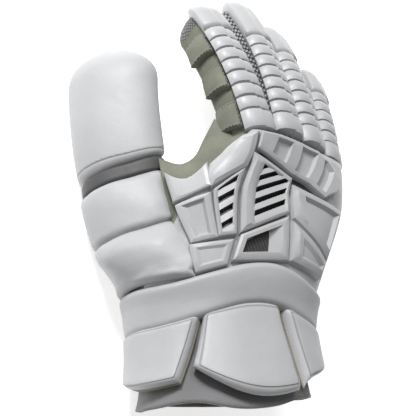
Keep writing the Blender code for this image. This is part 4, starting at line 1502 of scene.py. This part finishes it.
@dataclass
class Web:
    """The suede web and the plate on it."""

    out: Vector = field(default_factory=lambda: Vector((-0.76, 0.0, 0.65)))
    thickness: float = 0.003
    edge_roll: float = 0.006
    chart_size: tuple[float, float] = (0.08, 0.03)
    plate_size: tuple[float, float] = (0.024, 0.022)
    plate_height: float = 0.008
    plate_bow: float = 0.008
    free: tuple = (
        (-0.0990, -0.0150, -0.0385), (-0.0925, -0.0205, -0.0300), (-0.0860, -0.0205, -0.0252),
        (-0.0775, -0.0135, -0.0210), (-0.0700, 0.0005, -0.0186), (-0.0600, 0.0190, -0.0160),
    )
    sewn: tuple = (
        (-0.0931, -0.0660, -0.0320), (-0.0910, -0.0620, -0.0248), (-0.0854, -0.0540, -0.0176),
        (-0.0770, -0.0460, -0.0112), (-0.0686, -0.0300, -0.0040), (-0.0546, -0.0040, 0.0020),
    )
    plate_corners: tuple = (
        (-0.0945, -0.0550, -0.0280), (-0.0791, -0.0450, -0.0040),
        (-0.0788, -0.0256, -0.0080), (-0.0980, -0.0300, -0.0336),
    )

    def between(self, row: Sequence[Sequence[float]], share: float) -> Vector:
        """Return a smooth place along a row of points."""
        reach = share * (len(row) - 1)
        index = min(int(reach), len(row) - 2)
        t = reach - index
        spots = [Vector(row[min(max(index + step, 0), len(row) - 1)]) for step in (-1, 0, 1, 2)]
        tight = (
            2 * spots[1]
            + (spots[2] - spots[0]) * t
            + (2 * spots[0] - 5 * spots[1] + 4 * spots[2] - spots[3]) * t * t
            + (3 * spots[1] - spots[0] - 3 * spots[2] + spots[3]) * t**3
        )
        return tight / 2

    def cut_size(self) -> tuple[float, float]:
        """Return the web's mean length and width, measured along its two edges and between them."""
        rows = [[Vector(one) for one in row] for row in (self.free, self.sewn)]
        length = sum((two - one).length for row in rows for one, two in zip(row, row[1:])) / 2
        width = sum((one - two).length for one, two in zip(*rows)) / len(rows[0])
        return length, width

    def gusset(self) -> None:
        """Make the suede web."""
        pattern = Pattern("thumb_web")
        wide, long = self.chart_size
        pattern.sheet(30, 10, lambda u, v: Vector((u * wide, v * long, 0.0)))

        def wrap(flat: Vector) -> Vector:
            """Lay a place between the sewn edge and the rolled free edge."""
            u, v = flat.x / wide, flat.y / long
            roll = self.out * (-self.edge_roll * v**6)
            return laid(self.between(self.sewn, u).lerp(self.between(self.free, u), v) + roll)

        made = pattern.finish(wrap, (Wardrobe.suede,), "grey_suede", ("web_gusset",), 60.0)
        thicken(made, self.thickness, 0.0)
        self.cut_size()

    def plate(self) -> None:
        """Make the moulded plate on the web."""
        pattern = Pattern("web_plate_shell")
        flat = pattern.outline(((0, 0), (24, 0), (24, 22), (12, 20), (0, 22)))
        pattern.round_rim(pattern.raise_face(flat, self.plate_height), 0.0024)
        pattern.grid_cut(0.003, 0.004)
        low_left, low_right, high_right, high_left = (Vector(one) for one in self.plate_corners)

        def wrap(flat: Vector) -> Vector:
            """Lay a place between the plate's four corners."""
            u, v = flat.x / self.plate_size[0], flat.y / self.plate_size[1]
            low, high = low_left.lerp(low_right, u), high_left.lerp(high_right, u)
            high.y -= self.plate_bow * math.sin(math.pi * u)
            return laid(low.lerp(high, v) + self.out * flat.z)

        made = pattern.finish(wrap, (Wardrobe.foam,), "white_foam", ("web_plate",), 24.0)

    def make(self) -> None:
        """Make the web."""
        self.gusset()
        self.plate()


# Cuff


BAND_LINE = (
    (-0.1330, -0.1280), (-0.0980, -0.1280), (-0.0630, -0.1286), (-0.0350, -0.1210), (0.0, -0.1104),
    (0.0280, -0.1126), (0.0525, -0.1220), (0.0770, -0.1280), (0.1330, -0.1280),
)
RIM_LINE = (
    (-3.0, -0.185), (-1.9, -0.192), (-1.2, -0.197), (-0.85, -0.191), (-0.3, -0.200), (0.2, -0.199),
    (0.9, -0.190), (1.8, -0.185), (3.0, -0.185),
)


def eased_line(stops: Sequence[tuple[float, float]], at: float, reach: float) -> float:
    """Read a line of stops with its corners rounded over a reach each side."""
    total = sum(follow(stops, at + reach * step / 4) for step in range(-4, 5))
    return total / 9


@dataclass(frozen=True)
class FlapCut:
    """A cuff flap: girths at the band and at its free edge, and where it ends, in metres."""

    name: str
    top: tuple[float, float]
    bottom: tuple[float, float]
    ends: tuple[float, float]
    flare: float
    sweep: float
    bow: float = 1.0
    lining: bool = True

    def end(self, u: float) -> float:
        """Return the hand Y of the free edge at a share of the width."""
        return mix(*self.ends, max(u, 0.0) ** self.bow) - self.sweep * math.sin(math.pi * u)


FLAPS = (
    FlapCut("radial", (-0.1260, -0.0385), (-0.1225, -0.0560), (-0.1740, -0.1810), 0.003, 0.0048),
    FlapCut(
        "centre", (-0.0364, 0.0252), (-0.0462, 0.0350), (-0.1710, -0.1870), 0.005, 0.012,
        lining=False,
    ),
    FlapCut("ulnar", (0.0294, 0.1015), (0.0406, 0.0875), (-0.1860, -0.1600), 0.004, 0.0048, 0.5),
)


@dataclass
class Cuff:
    """The inner cuff, the wrist band and the three flaps."""

    band_width: float = 0.031
    band_thickness: float = 0.0066
    band_reach: float = 0.1295
    tuck: float = 0.004
    flap_length: float = 0.050
    flap_thickness: float = 0.0066
    overlap: float = 0.012
    lining_lift: float = 0.0016
    lining_wall: float = 0.0014
    tube_start: float = -0.1284
    tube_wall: float = 0.0020
    tube_radius: float = 0.055
    rim_turn: float = 1.4
    back_turn: float = 2.6
    rim_ease: float = 0.3

    def band_middle(self, girth: float) -> float:
        """Return the hand Y of the band's middle line."""
        return eased_line(BAND_LINE, girth, 0.014)

    def band(self) -> None:
        """Make the padded band round the wrist."""
        reach = self.band_reach

        def spot(u: float, v: float, lift: float) -> Vector:
            """Return a place of the band."""
            girth = mix(-reach, reach, u)
            y = self.band_middle(girth) + (v - 0.5) * self.band_width
            return HAND.wrap(Vector((girth, y, lift)))

        Cushion(
            "wrist_strap", spot, reach * 2, self.band_width, self.band_thickness, radius=0.0052,
            base=0.0010, crown=0.0010, columns=96, rows=20, pucker=0.0003, seed=5.0,
        ).make(("wrist_band",), 0.9)

    def flap_field(self, cut: FlapCut) -> Callable[[float, float, float], Vector]:
        """Return the field of a flap, from its free edge up to the band."""

        def spot(u: float, v: float, lift: float) -> Vector:
            """Return a place of the flap, which flares towards its free edge."""
            down = 1 - v
            left, right = (mix(*side, down) for side in zip(cut.top, cut.bottom))
            girth = mix(left, right, u)
            start = self.band_middle(girth) - self.band_width / 2 + self.tuck
            out = lift + cut.flare * max(down, 0.0) ** 1.5
            return HAND.wrap(Vector((girth, mix(start, cut.end(u), down), out)))

        return spot

    def lining_size(self, cut: FlapCut) -> tuple[float, float]:
        """Return a lining's mean width and length, from the flap's own cutting lines."""
        left, right = (cut.top[0] + cut.bottom[0]) / 2, (cut.top[1] + cut.bottom[1]) / 2
        lengths = []
        for step in range(9):
            u = step / 8
            start = self.band_middle(mix(left, right, u)) - self.band_width / 2 + self.tuck
            lengths.append(start - cut.end(u))
        return (right - left) * (1 + 2 * self.overlap), sum(lengths) / len(lengths) * 1.02

    def flap(self, cut: FlapCut) -> None:
        """Make one flap and its lining."""
        width = cut.top[1] - cut.top[0]
        base = 0.0022 if cut.lining else 0.0010
        Cushion(
            f"{cut.name}_flap", self.flap_field(cut), width, self.flap_length, self.flap_thickness,
            radius=0.0060, base=base, crown=0.0014, columns=36, rows=30, pucker=0.0005,
            finishes=(Wardrobe.edge_pad,), seed=6.0 + len(cut.name),
        ).make((f"cuff_flap_{cut.name}",), 0.8)
        if not cut.lining:
            return
        pattern = Pattern(f"{cut.name}_flap_lining")
        length = self.flap_length
        pattern.sheet(36, 24, lambda u, v: Vector((u * width, v * length, 0.0)))
        spread = self.flap_field(cut)

        def wrap(flat: Vector) -> Vector:
            """Lay a place under the flap, past its edges by the overlap."""
            u, v = mix(-self.overlap, 1 + self.overlap, flat.x / width), flat.y / length
            return spread(u, mix(-0.02, 1.0, v), self.lining_lift)

        made = pattern.finish(
            wrap, (Wardrobe.tan,), "tan_lining", (f"cuff_lining_{cut.name}",), 60.0
        )
        thicken(made, self.lining_wall, 0.0)
        self.lining_size(cut)

    def rim(self, turn: float) -> float:
        """Return the hand Y of the tube's wavy rim at a turn."""
        side, front = math.sin(turn), math.cos(turn)
        rim = self.rim_turn * side
        if front <= 0:
            rim = math.copysign(mix(self.rim_turn, self.back_turn, -front), side)
        line, left, right = (
            eased_line(RIM_LINE, at, self.rim_ease) for at in (rim, self.back_turn, -self.back_turn)
        )
        return mix(line, (left + right) / 2, smooth((-front - 0.3) / 0.7))

    def tube_size(self) -> tuple[float, float]:
        """Return the tape round the tube's middle and its mean length, as its cloth is cut."""
        rims = [self.rim(math.pi * step / 12) for step in range(-12, 12)]
        length = self.tube_start - sum(rims) / len(rims)
        middle = -self.tube_start + length / 2
        return HAND.tape(middle, 1)[-1] + HAND.tape(middle, -1)[-1], length

    def inner(self) -> None:
        """Make the fabric tube with its wavy rim."""
        pattern = Pattern("cuff_tube")

        def place(u: float, v: float) -> Vector:
            """Return a flat place as turn and hand Y."""
            turn = mix(-math.pi, math.pi, u)
            return Vector((turn, mix(self.tube_start, self.rim(turn), v), 0.0))

        pattern.sheet(96, 28, place)
        pattern.chart(self.tube_radius)

        def wrap(flat: Vector) -> Vector:
            """Lay a place on the wrist, with slight folds."""
            fold = noise.noise(Vector((flat.x * 3.0, flat.y * 60, 2.0))) * 0.0012
            return laid(HAND.point(-flat.y, flat.x, min(fold - 0.0004, 0.0004)))

        made = pattern.finish(
            wrap, (Wardrobe.knit, Wardrobe.tan), "grey_fabric", ("inner_cuff",), 60.0, merge=1e-5
        )
        wall = thicken(made, self.tube_wall, -1.0)
        wall.material_offset, wall.material_offset_rim = 1, 0
        self.tube_size()

    def make(self) -> None:
        """Make the cuff."""
        self.inner()
        self.band()
        for cut in FLAPS:
            self.flap(cut)


# Floor, light and camera


@dataclass(frozen=True)
class Lamp:
    """One soft round lamp, placed in the hand's frame, with its size in metres and its watts."""

    name: str
    place: tuple[float, float, float]
    size: float
    power: float


LAMPS = (Lamp("key", (-0.80, 0.70, 0.60), 0.34, 17.0), Lamp("top", (-0.40, 0.55, 1.00), 0.5, 6.0))


@dataclass
class Studio:
    """A pale floor, soft light and the camera at the photograph's angle."""

    side_angle: float = math.radians(49.5)
    tilt: float = math.radians(18.0)
    roll: float = math.radians(4.0)
    distance: float = 0.760
    target: Vector = field(default_factory=lambda: Vector((-0.015, -0.045, -0.010)))
    target_pixel: tuple[float, float] = (266.6, 207.6)
    pixels: int = 416
    pixels_per_metre: float = 1320.0
    sensor: float = 36.0
    sky: float = 0.31
    floor_half: float = 4.0
    aim: Vector = field(default_factory=lambda: Vector((-0.02, -0.03, -0.02)))

    def camera(self) -> None:
        """Set the camera."""
        side, tilt = self.side_angle, self.tilt
        across, level = math.sin(side), math.cos(side)
        back = Vector((-across * math.cos(tilt), -math.sin(tilt), level * math.cos(tilt)))
        up = Vector((-across * math.sin(tilt), math.cos(tilt), level * math.sin(tilt)))
        right = Vector((math.cos(side), 0.0, math.sin(side)))
        turned_right = right * math.cos(self.roll) - up * math.sin(self.roll)
        turned_up = right * math.sin(self.roll) + up * math.cos(self.roll)
        axes = [REST_TURN @ one for one in (turned_right, turned_up, back)]
        place = laid(self.target + back * self.distance)
        matrix = Matrix([[*row, at] for row, at in zip(zip(*axes), place)] + [[0, 0, 0, 1]])
        data = bpy.data.cameras.new("camera")
        camera = added("camera", data)
        camera.matrix_world = matrix
        width = self.pixels / self.pixels_per_metre
        data.sensor_width = self.sensor
        data.lens = self.sensor * self.distance / width
        data.shift_x = (self.pixels / 2 - self.target_pixel[0]) / self.pixels
        data.shift_y = (self.target_pixel[1] - self.pixels / 2) / self.pixels
        data.clip_start = 0.01
        bpy.context.scene.camera = camera

    def floor(self) -> None:
        """Lay the floor."""
        mesh = bmesh.new()
        bmesh.ops.create_grid(mesh, x_segments=1, y_segments=1, size=self.floor_half)
        data = bpy.data.meshes.new("floor")
        mesh.to_mesh(data)
        mesh.free()
        data.materials.append(WARDROBE.get(Painted("pale_floor", (0.93, 0.93, 0.93), glow=0.60)))
        made = added("floor", data)

    def lamp(self, lamp: Lamp) -> None:
        """Hang one lamp."""
        data = bpy.data.lights.new(lamp.name, "AREA")
        data.shape, data.size, data.energy = "DISK", lamp.size, lamp.power
        made = added(lamp.name, data)
        made.location = laid(Vector(lamp.place))
        away = laid(self.aim) - laid(Vector(lamp.place))
        made.rotation_euler = away.to_track_quat("-Z", "Y").to_euler()

    def light(self) -> None:
        """Light the scene."""
        world = bpy.data.worlds.new("studio")
        world.use_nodes = True
        ground = world.node_tree.nodes["Background"]
        ground.inputs["Color"].default_value = (1.0, 1.0, 1.0, 1.0)
        ground.inputs["Strength"].default_value = self.sky
        bpy.context.scene.world = world
        for lamp in LAMPS:
            self.lamp(lamp)

    def make(self) -> None:
        """Make the studio."""
        bpy.context.scene.view_settings.view_transform = "Standard"
        self.floor()
        self.light()
        self.camera()


def main() -> None:
    """Build the glove and its studio."""
    logging.basicConfig(level=logging.INFO, format="%(message)s")
    Studio().make()
    for finger in FINGERS:
        finger.make()
    FlexPads(FINGERS[0]).make()
    Backhand().make()
    ThumbPadding().make()
    Web().make()
    Cuff().make()


if __name__ == "__main__":
    main()
